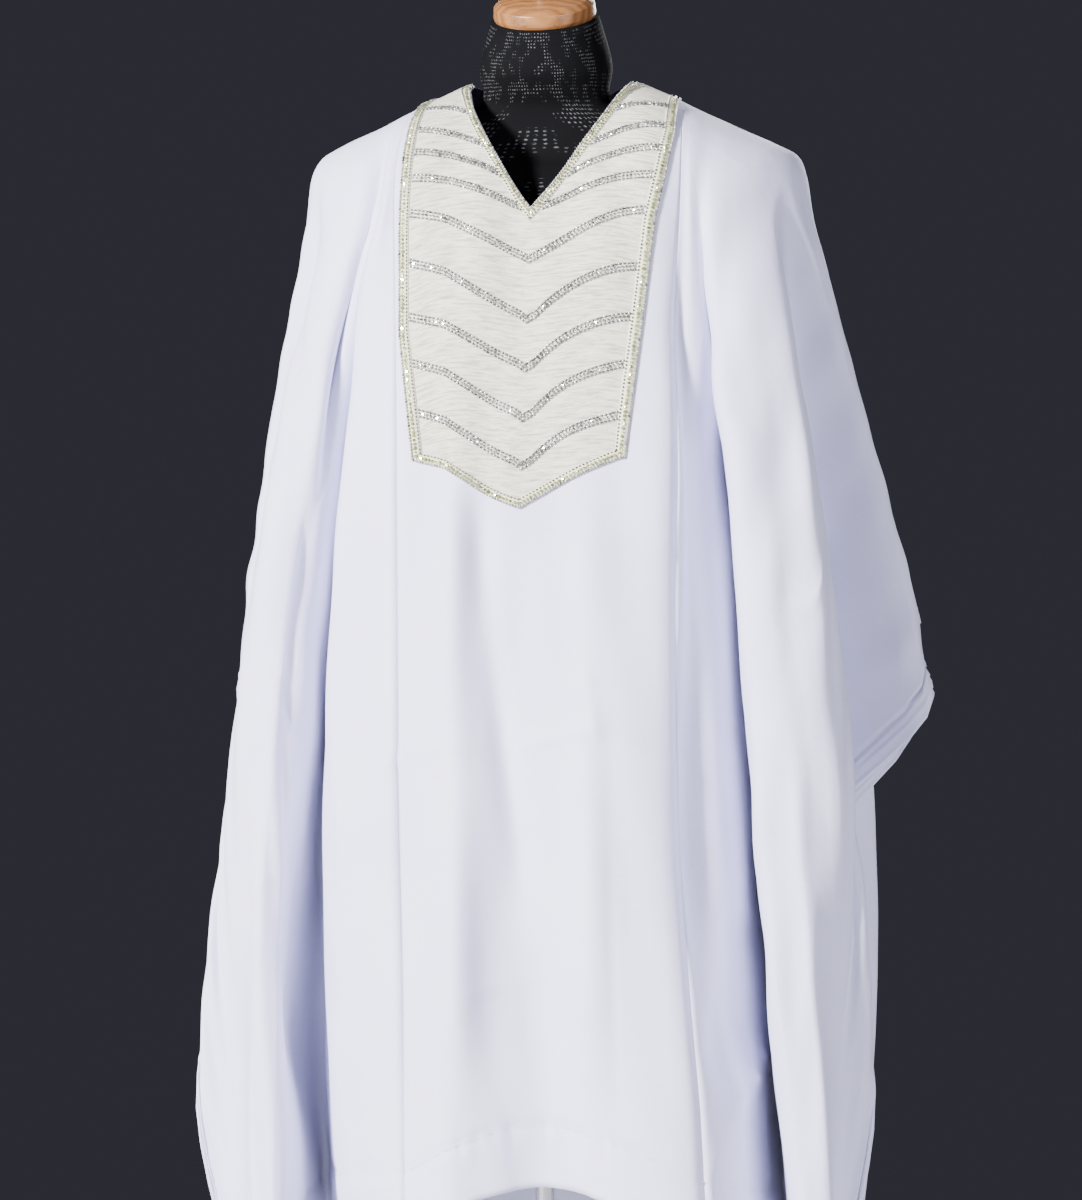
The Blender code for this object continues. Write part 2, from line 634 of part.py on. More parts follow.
def turned(profile, count, tilt=0.0, centre=(0.0, 0.0, 0.0)):
    """A closed solid of revolution from (radius, height) pairs that start and end on the axis."""
    turn = np.linspace(0, 2 * math.pi, count, endpoint=False)
    points, rings = [], []
    for radius, height in profile:
        if radius == 0:
            rings.append([len(points)] * count)
            points.append((0.0, 0.0, height))
            continue
        rings.append(list(range(len(points), len(points) + count)))
        points += [(radius * math.cos(t), radius * math.sin(t), height) for t in turn]
    faces = []
    for low, high in zip(rings, rings[1:]):
        for k in range(count):
            n = (k + 1) % count
            corners = []
            for v in (low[k], low[n], high[n], high[k]):
                if v not in corners:
                    corners.append(v)
            faces.append(tuple(corners))
    points = np.array(points)
    cos, sin = math.cos(tilt), math.sin(tilt)
    spun = np.stack(
        (
            points[:, 0],
            points[:, 1] * cos - points[:, 2] * sin,
            points[:, 1] * sin + points[:, 2] * cos,
        ),
        axis=1,
    )
    return spun + np.array(centre), faces


# --- the dress form and its stand -----------------------------------------------------------------
COVER_COLOUR = (0.012, 0.012, 0.014)
WOOD_COLOUR = (0.55, 0.33, 0.16)
POLE_COLOUR = (0.62, 0.62, 0.64)
BASE_COLOUR = (0.45, 0.45, 0.47)
FORM_SQUARENESS = 2.3
FORM_SEGMENTS = 28
CAP_SEGMENTS = 28
KNOB_SEGMENTS = 16
POLE_SEGMENTS = 16
BASE_SEGMENTS = 24
Section = namedtuple("Section", "z half_width half_depth y tilt")
TORSO = (
    Section(0.800, 0.146, 0.092, 0.018, 0),
    Section(0.812, 0.158, 0.102, 0.018, 0),
    Section(0.860, 0.168, 0.108, 0.019, 0),
    Section(0.940, 0.170, 0.108, 0.020, 0),
    Section(1.050, 0.150, 0.096, 0.018, 0),
    Section(1.150, 0.160, 0.098, 0.014, 0),
    Section(1.250, 0.180, 0.100, 0.012, 0),
    Section(1.320, 0.196, 0.096, 0.018, 0),
    Section(1.370, 0.212, 0.082, 0.024, 0),
    Section(1.396, 0.217, 0.064, 0.027, 0),
    Section(1.412, 0.206, 0.048, 0.027, 0),
    Section(1.436, 0.158, 0.044, 0.027, 0),
    Section(1.460, 0.078, 0.040, 0.018, 0),
    Section(1.478, 0.0635, 0.045, 0.010, 0.05),
    Section(1.505, 0.0665, 0.055, 0.006, 0.20),
    Section(1.552, 0.0535, 0.052, 0.000, 0.42),
)
NECK_TILT = math.atan(TORSO[-1].tilt)
CAP_PROFILE = (
    (0, 0.0003),
    (0.0505, 0.0003),
    (0.0515, 0.0040),
    (0.0505, 0.0140),
    (0.0440, 0.0190),
    (0.0280, 0.0225),
    (0, 0.0235),
)
KNOB_PROFILE = (
    (0, 0.0238),
    (0.0120, 0.0238),
    (0.0115, 0.0430),
    (0.0165, 0.0520),
    (0.0165, 0.0600),
    (0.0100, 0.0670),
    (0, 0.0685),
)
POLE_RADIUS = 0.0095
SOCKET_DEPTH = 0.039
FLANGE_RADIUS = 0.034
BASE_RADIUS = 0.170
BASE_THICKNESS = 0.012
BOSS_HEIGHT = 0.045
POLE_PROFILE = (
    (0, BOSS_HEIGHT - SOCKET_DEPTH + SEAM_GAP),
    (POLE_RADIUS, BOSS_HEIGHT - SOCKET_DEPTH + SEAM_GAP),
    (POLE_RADIUS, 0.780),
    (FLANGE_RADIUS, 0.7937),
    (FLANGE_RADIUS, 0.7997),
    (0, 0.7997),
)
BASE_PROFILE = (
    (0, 0),
    (BASE_RADIUS, 0),
    (BASE_RADIUS, 0.008),
    (BASE_RADIUS - 0.006, BASE_THICKNESS),
    (0.026, BASE_THICKNESS),
    (0.019, 0.018),
    (0.017, BOSS_HEIGHT),
    (POLE_RADIUS + SEAM_GAP, BOSS_HEIGHT),
    (POLE_RADIUS + SEAM_GAP, BOSS_HEIGHT - SOCKET_DEPTH),
    (0, BOSS_HEIGHT - SOCKET_DEPTH),
)


def build_stand():
    rings = [oval(section, FORM_SEGMENTS, FORM_SQUARENESS) for section in TORSO]
    add_object("form_torso", *loft(rings), material("form_cover", COVER_COLOUR, 0.85))
    top = TORSO[-1]
    neck = (0.0, top.y, top.z)
    cap = turned(CAP_PROFILE, CAP_SEGMENTS, NECK_TILT, neck)
    add_object("neck_cap", *cap, material("wood", WOOD_COLOUR, 0.45))
    knob = turned(KNOB_PROFILE, KNOB_SEGMENTS, NECK_TILT, neck)
    add_object("neck_knob", *knob, material("wood_knob", WOOD_COLOUR, 0.45))
    pole = turned(POLE_PROFILE, POLE_SEGMENTS)
    add_object("pole", *pole, material("steel", POLE_COLOUR, 0.28, 1.0))
    base = turned(BASE_PROFILE, BASE_SEGMENTS)
    add_object("base_plate", *base, material("base_steel", BASE_COLOUR, 0.4, 1.0))


def build_robe():
    robe = Robe()
    grids = {
        "left": side_grid(robe, -1),
        "right": side_grid(robe, 1),
        "front_left": front_grid(robe, -1),
        "front_right": front_grid(robe, 1),
        "back": back_grid(robe),
    }
    sheet = Sheet(grids)
    ids = sheet.ids

    def panel(name, patches, seams):
        pulls = [(edge, beside, SEAM_PULL) for edge, beside in seams]
        points, faces = wall_mesh(sheet, patches, -sheet.wall / 2, sheet.wall / 2, pulls)
        add_object(name, points, faces, material(name + "_cloth", CLOTH_COLOUR, 0.7, sheen=0.2))

    for side, name in ((-1, "left"), (1, "right")):
        grid = ids[name]
        panel(name + "_panel", [grid], [(grid[0], grid[1]), (grid[-1], grid[-2])])
    left, right, back = ids["front_left"], ids["front_right"], ids["back"]
    seams = [(left[0], left[1]), (right[-1], right[-2])]
    back_seams = [(back[0, 1:], back[1, 1:]), (back[-1, 1:], back[-2, 1:])]
    panel("centre_panel", [left, right, back], seams + back_seams)

    # On the bib, columns are counted out from the V or the centre on either side.
    outwards = {-1: left[::-1, :BIB_ROWS][:-1], 1: right[:-1, :BIB_ROWS]}
    bib_low = WALL / 2 + TRIM_GAP
    trim_low = bib_low + BIB_WALL + TRIM_GAP

    def laid(name, patches, low, wall, pulls, look):
        patches = [p if side > 0 else p[::-1] for side, p in patches]
        points, faces = wall_mesh(sheet, patches, low, low + wall, pulls)
        add_object(name, points, faces, look)

    laid("bib", outwards.items(), bib_low, BIB_WALL, (), material("bib_cloth", BIB_COLOUR, 0.6))
    neck_border = [(side, grid[:2, : APEX_ROW + 2]) for side, grid in outwards.items()]
    border = [(side, grid[-2:]) for side, grid in outwards.items()]
    border += [(side, grid[:-1, -2:]) for side, grid in outwards.items()]
    for name, patches in (("neck_border", neck_border), ("bib_border", border)):
        look = material(name + "_trim", TRIM_COLOUR, 0.4)
        laid(name, patches, trim_low, TRIM_WALL, (), look)
    for k in range(len(STRIPES)):
        row = stripe_row(k)
        look = material(f"braid_{k + 1}_silver", BRAID_COLOUR, 0.3, 0.6)
        arms = {side: grid[:-1, row : row + 2] for side, grid in outwards.items()}
        if k < SPLIT_STRIPES:
            for side, arm in arms.items():
                arm = arm[1:]
                pulls = [(arm[0], arm[1], TRIM_GAP), (arm[-1], arm[-2], TRIM_GAP)]
                name = f"braid_{k + 1}_{'left' if side < 0 else 'right'}"
                laid(name, [(side, arm)], trim_low, TRIM_WALL, pulls, look)
        else:
            pulls = [(arm[-1], arm[-2], TRIM_GAP) for arm in arms.values()]
            laid(f"braid_{k + 1}", arms.items(), trim_low, TRIM_WALL, pulls, look)


clear_scene()
build_stand()
build_robe()
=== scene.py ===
"""Looks of the grand boubou robe on its dress form: cloth, beadwork, form, stand, light and camera.

Metres, +Z up, the robe faces -Y. The cloth is drawn over the same fold lines as its solids, more
finely, and creased by small reliefs that are placed in the flat cut: across from the middle, and
down from the shoulder line. Rows given to in_metres are in millimetres.
"""

import math
from collections import namedtuple

import bpy
import numpy as np
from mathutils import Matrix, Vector


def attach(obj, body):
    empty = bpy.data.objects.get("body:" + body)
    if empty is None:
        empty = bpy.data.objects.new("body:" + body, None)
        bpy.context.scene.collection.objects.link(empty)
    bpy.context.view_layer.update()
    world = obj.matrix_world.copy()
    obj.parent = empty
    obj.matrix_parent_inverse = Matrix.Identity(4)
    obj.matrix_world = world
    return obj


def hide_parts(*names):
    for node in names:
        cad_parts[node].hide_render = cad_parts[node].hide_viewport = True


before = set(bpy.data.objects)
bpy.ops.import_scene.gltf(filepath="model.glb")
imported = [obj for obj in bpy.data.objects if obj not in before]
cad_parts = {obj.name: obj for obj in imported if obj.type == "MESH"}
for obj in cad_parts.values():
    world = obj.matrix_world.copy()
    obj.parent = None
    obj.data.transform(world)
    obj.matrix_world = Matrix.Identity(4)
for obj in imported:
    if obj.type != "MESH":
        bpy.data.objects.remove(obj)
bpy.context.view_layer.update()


def in_metres(kind, *rows):
    return tuple(kind(*(value / 1000 for value in row)) for row in rows)


# --- the cut of the robe, laid flat
HALF_WIDTH = 0.745  # neck centre to sleeve edge
FRONT_LENGTH = 1.14  # shoulder line to front hem, down the middle
BACK_LENGTH = 1.215
HEM_DIP = 0.040  # how much further down the hem is at the sides
HEM_DIP_WITHIN = 0.20  # from the middle
SHOULDER_RUN = 0.25  # neck centre to shoulder tip, along the shoulder line
NECK_HALF = 0.094
FRONT_NECK_DROP = 0.186  # depth of the V
V_CURVE = 1.8  # with 1 its edges would be straight
BACK_NECK_DROP = 0.050
BOTTOM_HEM = 0.060
SIDE_HEM = 0.027

# --- how the cloth lies on the shoulders
SHOULDER_SPREAD = {-1: 0.90, 1: 0.98}  # sideways share of a run along the shoulder line
SHOULDER_Y = 0.027
SHOULDER_TOP_Z = 1.488  # beside the neck
SHOULDER_FALL = math.tan(math.radians(25))
YOKE_HALF_WIDTH = {-1: 0.245, 1: 0.264}
YOKE_Y = 0.020
YOKE_FRONT_DEPTH = 0.125
YOKE_BACK_DEPTH = 0.120
YOKE_SQUARENESS = 2.2
YOKE_CENTRE_Z = 1.26
YOKE_SIDE_Z = 1.36
YOKE_RISE = 0.6  # the share of the way to the side where it has risen to that
MIDDLE = 0.45  # where the middle point is, from yoke to edge

# --- the bib: measured down the cloth from the shoulder line
BORDER = 0.0100
V_BORDER_DROP = 1.3 * BORDER  # the border is deeper under the point of the V
STRIPE = 0.0095
BibEdge = namedtuple("BibEdge", "drop left right")  # distance from the centre to its side edges
BIB_EDGES = in_metres(
    BibEdge,
    (0, 136.5, 136.5), (100, 135, 134.5), (150, 134.5, 128),
    (200, 135.5, 120.5), (300, 136, 112), (440, 123.5, 100),
)  # fmt: skip
# Drops of a stripe's middle, at the V or the centre and at either edge, and how far down it bows.
Stripe = namedtuple("Stripe", "inner left right left_bow right_bow")
*STRIPES, BIB_BOTTOM = in_metres(
    Stripe,
    (76, 53, 54, 0, 0), (118.5, 93, 92, 0, 0), (149, 122, 123, 0, 0), (179.5, 150, 154, 2, 0),
    (239, 182, 189, 5, -1), (298.5, 228, 246, 8, -7), (346.5, 282, 297, 8, -8),
    (395.5, 328, 344, 9, -8), (442.5, 379, 395, 9, -7),
    (484, 432, 440, 10, 0),  # the bib's bottom edge
)  # fmt: skip
BOW_FALL = {-1: 1, 1: 2}  # 1 bows evenly, and 2 most near the centre
SHOULDER_ROW = (0.030, 0.022, 0.0)  # the mesh's row between the shoulder line and the first stripe
SPLIT_STRIPES = 4  # the stripes above the point of the V, each in two arms

# --- fold lines
TURN_POINTS = 12  # over the shoulder
HANG_POINTS = 45  # from the yoke to the edge
EASE_ROUNDS = 6
LENGTH_ROUNDS = 8
PATH_POINTS = 81
LEAST_GAP = 1e-5
BIB_COLUMNS = 6  # from the V or the centre to the bib's side edge
BACK_NECK_COLUMNS = 3
ROWS_BELOW_BIB = 5

# A station is a fold line's place in the cut: where it starts along the shoulder line, and where it
# ends on the cloth's edge, across the hem and then up the side (0 is the corner, 1 the shoulder line).
# The mesh has columns on the stations and, between each and the next, at these parts of the way.
Station = namedtuple("Station", "start across up columns_on")
STATIONS = (
    Station(0.140, 0.165, 0.00, (0.5,)),  # seam
    Station(0.147, 0.280, 0.00, (0.8,)),  # slope
    Station(0.155, 0.420, 0.00, (0.2,)),  # valley
    Station(0.165, 0.580, 0.00, (0.4,)),  # inner ridge
    Station(0.180, 0.680, 0.00, ()),  # face
    Station(0.197, HALF_WIDTH, 0.00, (0.6,)),  # corner
    Station(0.214, HALF_WIDTH, 0.28, (0.25, 0.8)),  # outer ridge
    Station(0.229, HALF_WIDTH, 0.57, (0.3,)),  # outer valley
    Station(0.240, HALF_WIDTH, 0.74, (0.4,)),  # sleeve fold
    Station(0.246, HALF_WIDTH, 0.90, ()),  # tuck
    Station(0.250, HALF_WIDTH, 1.00, ()),  # crown
)
SEAM = STATIONS[0]

# Where each station's fold line hangs, in the stations' order: outwards from the pole and back (+Y),
# at its middle point and at the cloth's edge. The crown is the sleeve's top fold, and both layers
# share it.
Hang = namedtuple("Hang", "mid_out mid_y edge_out edge_y")
RIGHT_FRONT = in_metres(
    Hang, (153, -130, 184, -165), (180, -100, 216, -110), (204, -10, 240, 50), (219, -110, 286, -150),
    (255, -130, 310, -128), (277, -120, 288, -70), (297, -80, 334, -62), (262, 20, 280, 26),
    (323, 10, 385, 10), (290, 45, 330, 55), (311, 60, 369, 90),
)  # fmt: skip
LEFT_FRONT = in_metres(
    Hang, (126, -125, 116, -140), (200, -80, 174, -90), (217, 0, 232, 50), (234, -70, 250, -124),
    (256, -85, 276, -102), (275, -75, 278, -50), (292, -35, 350, -30), (236, 22, 244, 26),
    (288, 26, 325, 40), (250, 50, 272, 74), (282, 74, 320, 108),
)  # fmt: skip
RIGHT_BACK = in_metres(
    Hang, (150, 172, 160, 205), (187, 165, 200, 200), (216, 70, 228, 90), (240, 190, 248, 250),
    (254, 208, 264, 268), (268, 204, 268, 222), (302, 164, 309, 184), (254, 118, 262, 130),
    (314, 112, 360, 148), (272, 84, 320, 112), (311, 60, 369, 90),
)  # fmt: skip
LEFT_BACK = in_metres(
    Hang, (145, 172, 150, 208), (180, 165, 190, 200), (205, 70, 216, 90), (228, 188, 234, 245),
    (241, 206, 252, 264), (252, 204, 264, 215), (286, 164, 325, 190), (232, 122, 244, 134),
    (288, 118, 328, 160), (250, 89, 284, 115), (282, 74, 320, 108),
)  # fmt: skip

# Fold lines between the seams: start along the shoulder line, end across the hem, and where they hang.
Middle = namedtuple("Middle", "start across mid_x mid_y edge_x edge_y")
FRONT_MIDDLE = in_metres(
    Middle,
    (-85, -100, -74, -138, -68, -165),
    (0, 0, -6, -133, 20, -140),
    (85, 95, 94, -140, 115, -172),
)
BACK_MIDDLE = in_metres(
    Middle,
    (-85, -100, -85, 172, -90, 205),
    (0, 0, 0, 160, 0, 175),
    (85, 95, 85, 174, 90, 208),
)


def smooth(value):
    value = np.clip(value, 0, 1)
    return value * value * (3 - 2 * value)


def shoulder_point(start):
    """A point of the shoulder line, this far along it from the neck centre."""
    spread = SHOULDER_SPREAD[-1 if start < 0 else 1]
    past_neck = max(0.0, abs(start) - NECK_HALF) * spread
    return np.array((start * spread, SHOULDER_Y, SHOULDER_TOP_Z - past_neck * SHOULDER_FALL))


def yoke_point(start, front):
    """Where the fold line that starts there comes round onto the front or back of the yoke."""
    reach = start / SHOULDER_RUN
    round_in = max(0.0, 1 - abs(reach) ** YOKE_SQUARENESS) ** (1 / YOKE_SQUARENESS)
    depth = -YOKE_FRONT_DEPTH if front else YOKE_BACK_DEPTH
    z = YOKE_CENTRE_Z + (YOKE_SIDE_Z - YOKE_CENTRE_Z) * smooth(abs(reach) / YOKE_RISE)
    half_width = YOKE_HALF_WIDTH[-1 if start < 0 else 1]
    return np.array((half_width * reach, YOKE_Y + depth * round_in, z))


def hanging_path(start, front, mid, edge):
    """Points from the shoulder line over the yoke, past the middle point, to the edge."""
    top, yoke = shoulder_point(start), yoke_point(start, front)
    turn = np.linspace(0, math.pi / 2, TURN_POINTS)[:-1, None]
    over = (top[:2] + (yoke[:2] - top[:2]) * np.sin(turn), yoke[2:] + (top[2:] - yoke[2:]) * np.cos(turn))
    down = np.linspace(0, 1, HANG_POINTS)[:, None]
    at_yoke = (down - MIDDLE) * (down - 1) / MIDDLE
    at_mid = down * (1 - down) / (MIDDLE * (1 - MIDDLE))
    at_edge = down * (down - MIDDLE) / (1 - MIDDLE)
    below = (
        yoke[:2] * at_yoke + np.array(mid) * at_mid + edge[:2] * at_edge,
        yoke[2:] + (edge[2:] - yoke[2:]) * down,
    )
    path = np.vstack((np.hstack(over), np.hstack(below)))
    for _ in range(EASE_ROUNDS):  # takes the kink out at the yoke
        path[1:-1] = (path[:-2] + 2 * path[1:-1] + path[2:]) / 4
    return path


def run_along(path):
    return np.concatenate(([0], np.cumsum(np.linalg.norm(np.diff(path, axis=0), axis=1))))


def placed_at(wanted, run, values):
    """Values at other runs along a path."""
    return np.stack([np.interp(wanted, run, values[:, k]) for k in range(3)], axis=1)


def fold_line(start, front, across, down, mid, edge_xy):
    """PATH_POINTS points, evenly spaced down the cloth, of a fold line as long as its flat cut."""
    flat = math.hypot(across - start, down)
    edge_z = SHOULDER_TOP_Z - flat
    for _ in range(LENGTH_ROUNDS):  # hangs the edge where the whole path has the flat length
        path = hanging_path(start, front, mid, np.array((*edge_xy, edge_z)))
        edge_z += run_along(path)[-1] - flat
    run = run_along(path)
    return placed_at(np.linspace(0, run[-1], PATH_POINTS), run, path)


def cut_length(across, front):
    """How far down the hem is, from the shoulder line, this far across."""
    out = min(1.0, abs(across) / HEM_DIP_WITHIN)
    return (FRONT_LENGTH if front else BACK_LENGTH) + HEM_DIP * math.sin(out * math.pi / 2)


Line = namedtuple("Line", "start across down length hem points")


def cut_line(start, across, up, front, mid, edge):
    down = cut_length(across, front) * (1 - up)
    hem = BOTTOM_HEM if abs(across) < HALF_WIDTH else SIDE_HEM
    points = fold_line(start, front, across, down, mid, edge)
    return Line(start, across, down, math.hypot(across - start, down), hem, points)


def side_lines(side, hangs, front):
    lines = []
    for s, h in zip(STATIONS, hangs):
        mid, edge = (side * h.mid_out, h.mid_y), (side * h.edge_out, h.edge_y)
        lines.append(cut_line(side * s.start, side * s.across, s.up, front, mid, edge))
    return lines


def middle_lines(middles, front):
    return [cut_line(m.start, m.across, 0, front, (m.mid_x, m.mid_y), (m.edge_x, m.edge_y)) for m in middles]


# The whole cloth is one tube of fold lines, round from the left crown, front first. A column is a
# place between them, counted from the left crown. A share is a place down them, from the shoulder
# line (0) to the edge (1).
LINES = [
    *side_lines(-1, LEFT_FRONT, True)[::-1],
    *middle_lines(FRONT_MIDDLE, True),
    *side_lines(1, RIGHT_FRONT, True),
    *side_lines(1, RIGHT_BACK, False)[-2::-1],
    *middle_lines(BACK_MIDDLE, False)[::-1],
    *side_lines(-1, LEFT_BACK, False)[:-1],
]
PATHS = np.array([one.points for one in LINES])
AHEAD = np.roll(PATHS, -1, axis=0) - PATHS
GAPS = np.linalg.norm(AHEAD, axis=2, keepdims=True) + LEAST_GAP
SLOPES = AHEAD / GAPS
BEFORE = np.roll(GAPS, 1, axis=0)
TANGENTS = (np.roll(SLOPES, 1, axis=0) * GAPS + SLOPES * BEFORE) / (BEFORE + GAPS)


def curved(low, high, bend, f):
    """The share f of the way along a smooth curve from low to high."""
    return low * (1 + 2 * f) * (1 - f) ** 2 + high * f * f * (3 - 2 * f) + bend * f * (1 - f)


def sheet(column, share):
    """Points of the middle of the cloth."""
    column, share = np.broadcast_arrays(column, share)
    low = np.floor(column).astype(int)
    f = (column - low)[..., None]
    low = low % len(LINES)
    high = (low + 1) % len(LINES)
    at = np.clip(share, 0, 1) * (PATH_POINTS - 1)
    step = np.minimum(at.astype(int), PATH_POINTS - 2)
    g = (at - step)[..., None]

    def down(values, on):
        return values[on, step] * (1 - g) + values[on, step + 1] * g

    bend = down(TANGENTS, low) * (1 - f) - down(TANGENTS, high) * f
    return curved(down(PATHS, low), down(PATHS, high), bend * down(GAPS, low), f)


def gap_at(column, share):
    """How far apart the fold lines near a place are."""
    low = np.floor(column).astype(int)
    f = column - low
    step = np.clip((share * (PATH_POINTS - 1)).astype(int), 0, PATH_POINTS - 1)
    before, at, after = (GAPS[(low + k) % len(LINES), step, 0] for k in (-1, 0, 1))
    return ((before + at) * (1 - f) + (at + after) * f) / 2


def of_lines(field, column):
    """A number of the fold lines, at a place between them."""
    numbers = [getattr(one, field) for one in LINES]
    return np.interp(np.mod(column, len(numbers)), range(len(numbers) + 1), numbers + numbers[:1])


# Columns where the panels meet: the seams, in front and behind, on the left (-1) and right (1).
SIDE_LINES = len(STATIONS)
FRONT_SEAM = {-1: SIDE_LINES - 1, 1: SIDE_LINES + 3}
RIGHT_CROWN = FRONT_SEAM[1] + SIDE_LINES - 1
BACK_SEAM = {1: RIGHT_CROWN + SIDE_LINES - 1, -1: RIGHT_CROWN + SIDE_LINES + 3}
ALL_LINES = BACK_SEAM[-1] + SIDE_LINES - 1


def middle_column(start, front):
    """The column of the centre panel that starts here along the shoulder line."""
    starts = (-SEAM.start, -NECK_HALF, 0.0, NECK_HALF, SEAM.start)
    if front:
        return np.interp(start, starts, range(FRONT_SEAM[-1], FRONT_SEAM[1] + 1))
    return np.interp(-np.asarray(start), starts, range(BACK_SEAM[1], BACK_SEAM[-1] + 1))


def v_half(drop):
    """Half the width of the neck's V, this far down the cloth."""
    return NECK_HALF * (1 - np.minimum(drop / FRONT_NECK_DROP, 1) ** V_CURVE)


def v_slant(drop):
    """How fast the V's edge runs in towards the centre there."""
    slant = NECK_HALF * V_CURVE / FRONT_NECK_DROP * (drop / FRONT_NECK_DROP) ** (V_CURVE - 1)
    return np.where(drop <= FRONT_NECK_DROP, slant, 0.0)


def beside_v(rows, edge):
    """Starts and drops of a border's width out from the V, square to it, or from the centre."""
    inner, slant = v_half(rows[:, 0]), v_slant(rows[:, 0])
    square = 1 / np.hypot(1, slant)
    start = inner + BORDER * square
    along_row = (rows[:, 1] - rows[:, 0]) * (start - inner) / (edge - inner)
    sag = np.where(rows[:, 0] <= FRONT_NECK_DROP, BORDER * slant * square, along_row)
    return start, rows[:, 0] + sag


def stripe_row(stripe, side):
    """Drop at the V or centre, drop at the side edge, and bow."""
    ends = (stripe.left, stripe.left_bow) if side < 0 else (stripe.right, stripe.right_bow)
    return np.array((stripe.inner, *ends))


def bib_rows(side):
    """Rows from shoulder to bib bottom, as stripe_row gives them."""
    half = np.array((STRIPE, STRIPE, 0)) / 2
    rows = [np.zeros(3), np.array(SHOULDER_ROW)]
    for k, stripe in enumerate(STRIPES):
        row = stripe_row(stripe, side)
        if k == SPLIT_STRIPES:
            between = (stripe_row(STRIPES[k - 1], side) + row) / 2
            rows.append(np.array((FRONT_NECK_DROP, between[1] - BORDER / 2, between[2])))
            rows.append(rows[-1] + (V_BORDER_DROP, BORDER, 0))
        rows += [row - half, row + half]
    bottom = stripe_row(BIB_BOTTOM, side)
    return np.array(rows + [bottom - (BORDER, BORDER, 0), bottom])


def bow_shape(out, side):
    """The share of its bow that a row has, this share of the way out; most is 1."""
    fall = BOW_FALL[side]
    most = fall**fall / (1 + fall) ** (1 + fall)
    return out * (1 - out) ** fall / most


def bib_edge(side, drop):
    """The bib's side edge, from the centre, where it is this far down."""
    edges = np.array(BIB_EDGES)
    return np.interp(drop, edges[:, 0], edges[:, 1 if side < 0 else 2])


# --- grids: places on the cloth, as columns and shares
Places = namedtuple("Places", "column share")
BIB_ROWS = len(bib_rows(1))
SIDE_CUTS = 4
SIDE_END = 0.004  # how far the side panels stop short of the seams, in columns
BIB_ROW_CUTS = [4] * (BIB_ROWS - 1)
ROW_CUTS = [4, 4] + [3] * (BIB_ROWS - 3) + [26] * ROWS_BELOW_BIB + [9]
BIB_CUTS = [2] + [5] * (BIB_COLUMNS - 2) + [2]
SEAM_CUTS = [4]  # from the bib's edge to the seam


def refine(values, counts, axis):
    """Each gap between the values is cut into that many equal steps."""
    values = np.moveaxis(np.asarray(values, float), axis, 0)
    out = [values[:1]]
    for k, count in enumerate(counts):
        step = np.linspace(0, 1, count + 1)[1:].reshape(-1, *([1] * (values.ndim - 1)))
        out.append(values[k] + (values[k + 1] - values[k]) * step)
    return np.moveaxis(np.concatenate(out), 0, axis)


def rows_down(upper, stitch, end):
    """All the rows of some columns: the bib's rows, rows down to the hem's stitching, the edge."""
    last = upper[:, -1:]
    steps = np.linspace(0, 1, ROWS_BELOW_BIB + 1)[None, 1:]
    return np.hstack((upper, last + (stitch[:, None] - last) * steps, end[:, None]))


def seam_shares(side):
    """The rows' shares down the seam, which the side panels take all the way round."""
    seam = LINES[FRONT_SEAM[side]]
    drops = bib_rows(side)[None, :, 1]
    return rows_down(drops, np.array([seam.length - seam.hem]), np.array([seam.length]))[0] / seam.length


def side_places(side):
    first = FRONT_SEAM[1] if side > 0 else BACK_SEAM[-1]
    out = [k + part for k, s in enumerate(STATIONS) for part in (0, *s.columns_on)]
    back = [2 * (SIDE_LINES - 1) - place for place in out[-2::-1]]
    columns = refine([first + place for place in out + back], [SIDE_CUTS] * (len(out + back) - 1), 0)
    place = columns % ALL_LINES
    stitch = 1 - of_lines("hem", place) / of_lines("length", place)
    upper = np.tile(seam_shares(side)[:BIB_ROWS], (len(columns), 1))
    shares = refine(rows_down(upper, stitch, np.ones(len(columns))), ROW_CUTS, 1)
    column = np.repeat(place[:, None], shares.shape[1], axis=1)
    column[0] += SIDE_END
    column[-1] -= SIDE_END
    return Places(column, shares)


def front_params(side):
    """Starts and drops of the bib's columns and rows, from the V, or the centre, to its side edge."""
    rows = bib_rows(side)
    edge = bib_edge(side, rows[:, 1])
    beside, beside_drop = beside_v(rows, edge)
    even = np.linspace(0, 1, BIB_COLUMNS - 1)[:, None]
    starts = beside + (edge - BORDER - beside) * even
    out = (starts - beside) / (edge - beside)
    drops = beside_drop + (rows[:, 1] - beside_drop) * out + rows[:, 2] * bow_shape(out, side)
    starts = np.vstack((v_half(rows[:, 0]), starts, edge))
    return starts, np.vstack((rows[:, 0], drops, rows[:, 1])), rows[:, 1]


def fine_places(side, starts, drops, row_cuts, column_cuts):
    """A finer grid of places in front, from starts and drops, whose columns run from left to right."""
    starts = refine(refine(starts, row_cuts, 1), column_cuts, 0)
    drops = refine(refine(drops, row_cuts, 1), column_cuts, 0)
    columns = middle_column(side * starts, True)
    shares = np.minimum(drops / of_lines("length", columns), 1)
    return Places(columns[::side], shares[::side])


def front_places(side):
    starts, drops, edge_drops = front_params(side)
    starts = np.vstack((starts, np.full((1, starts.shape[1]), SEAM.start)))
    starts = np.hstack((starts, np.repeat(starts[:, -1:], ROWS_BELOW_BIB + 1, axis=1)))
    lengths = of_lines("length", middle_column(side * starts[:, -1], True))
    drops = rows_down(np.vstack((drops, edge_drops)), lengths - BOTTOM_HEM, lengths)
    return fine_places(side, starts, drops, ROW_CUTS, BIB_CUTS + SEAM_CUTS)


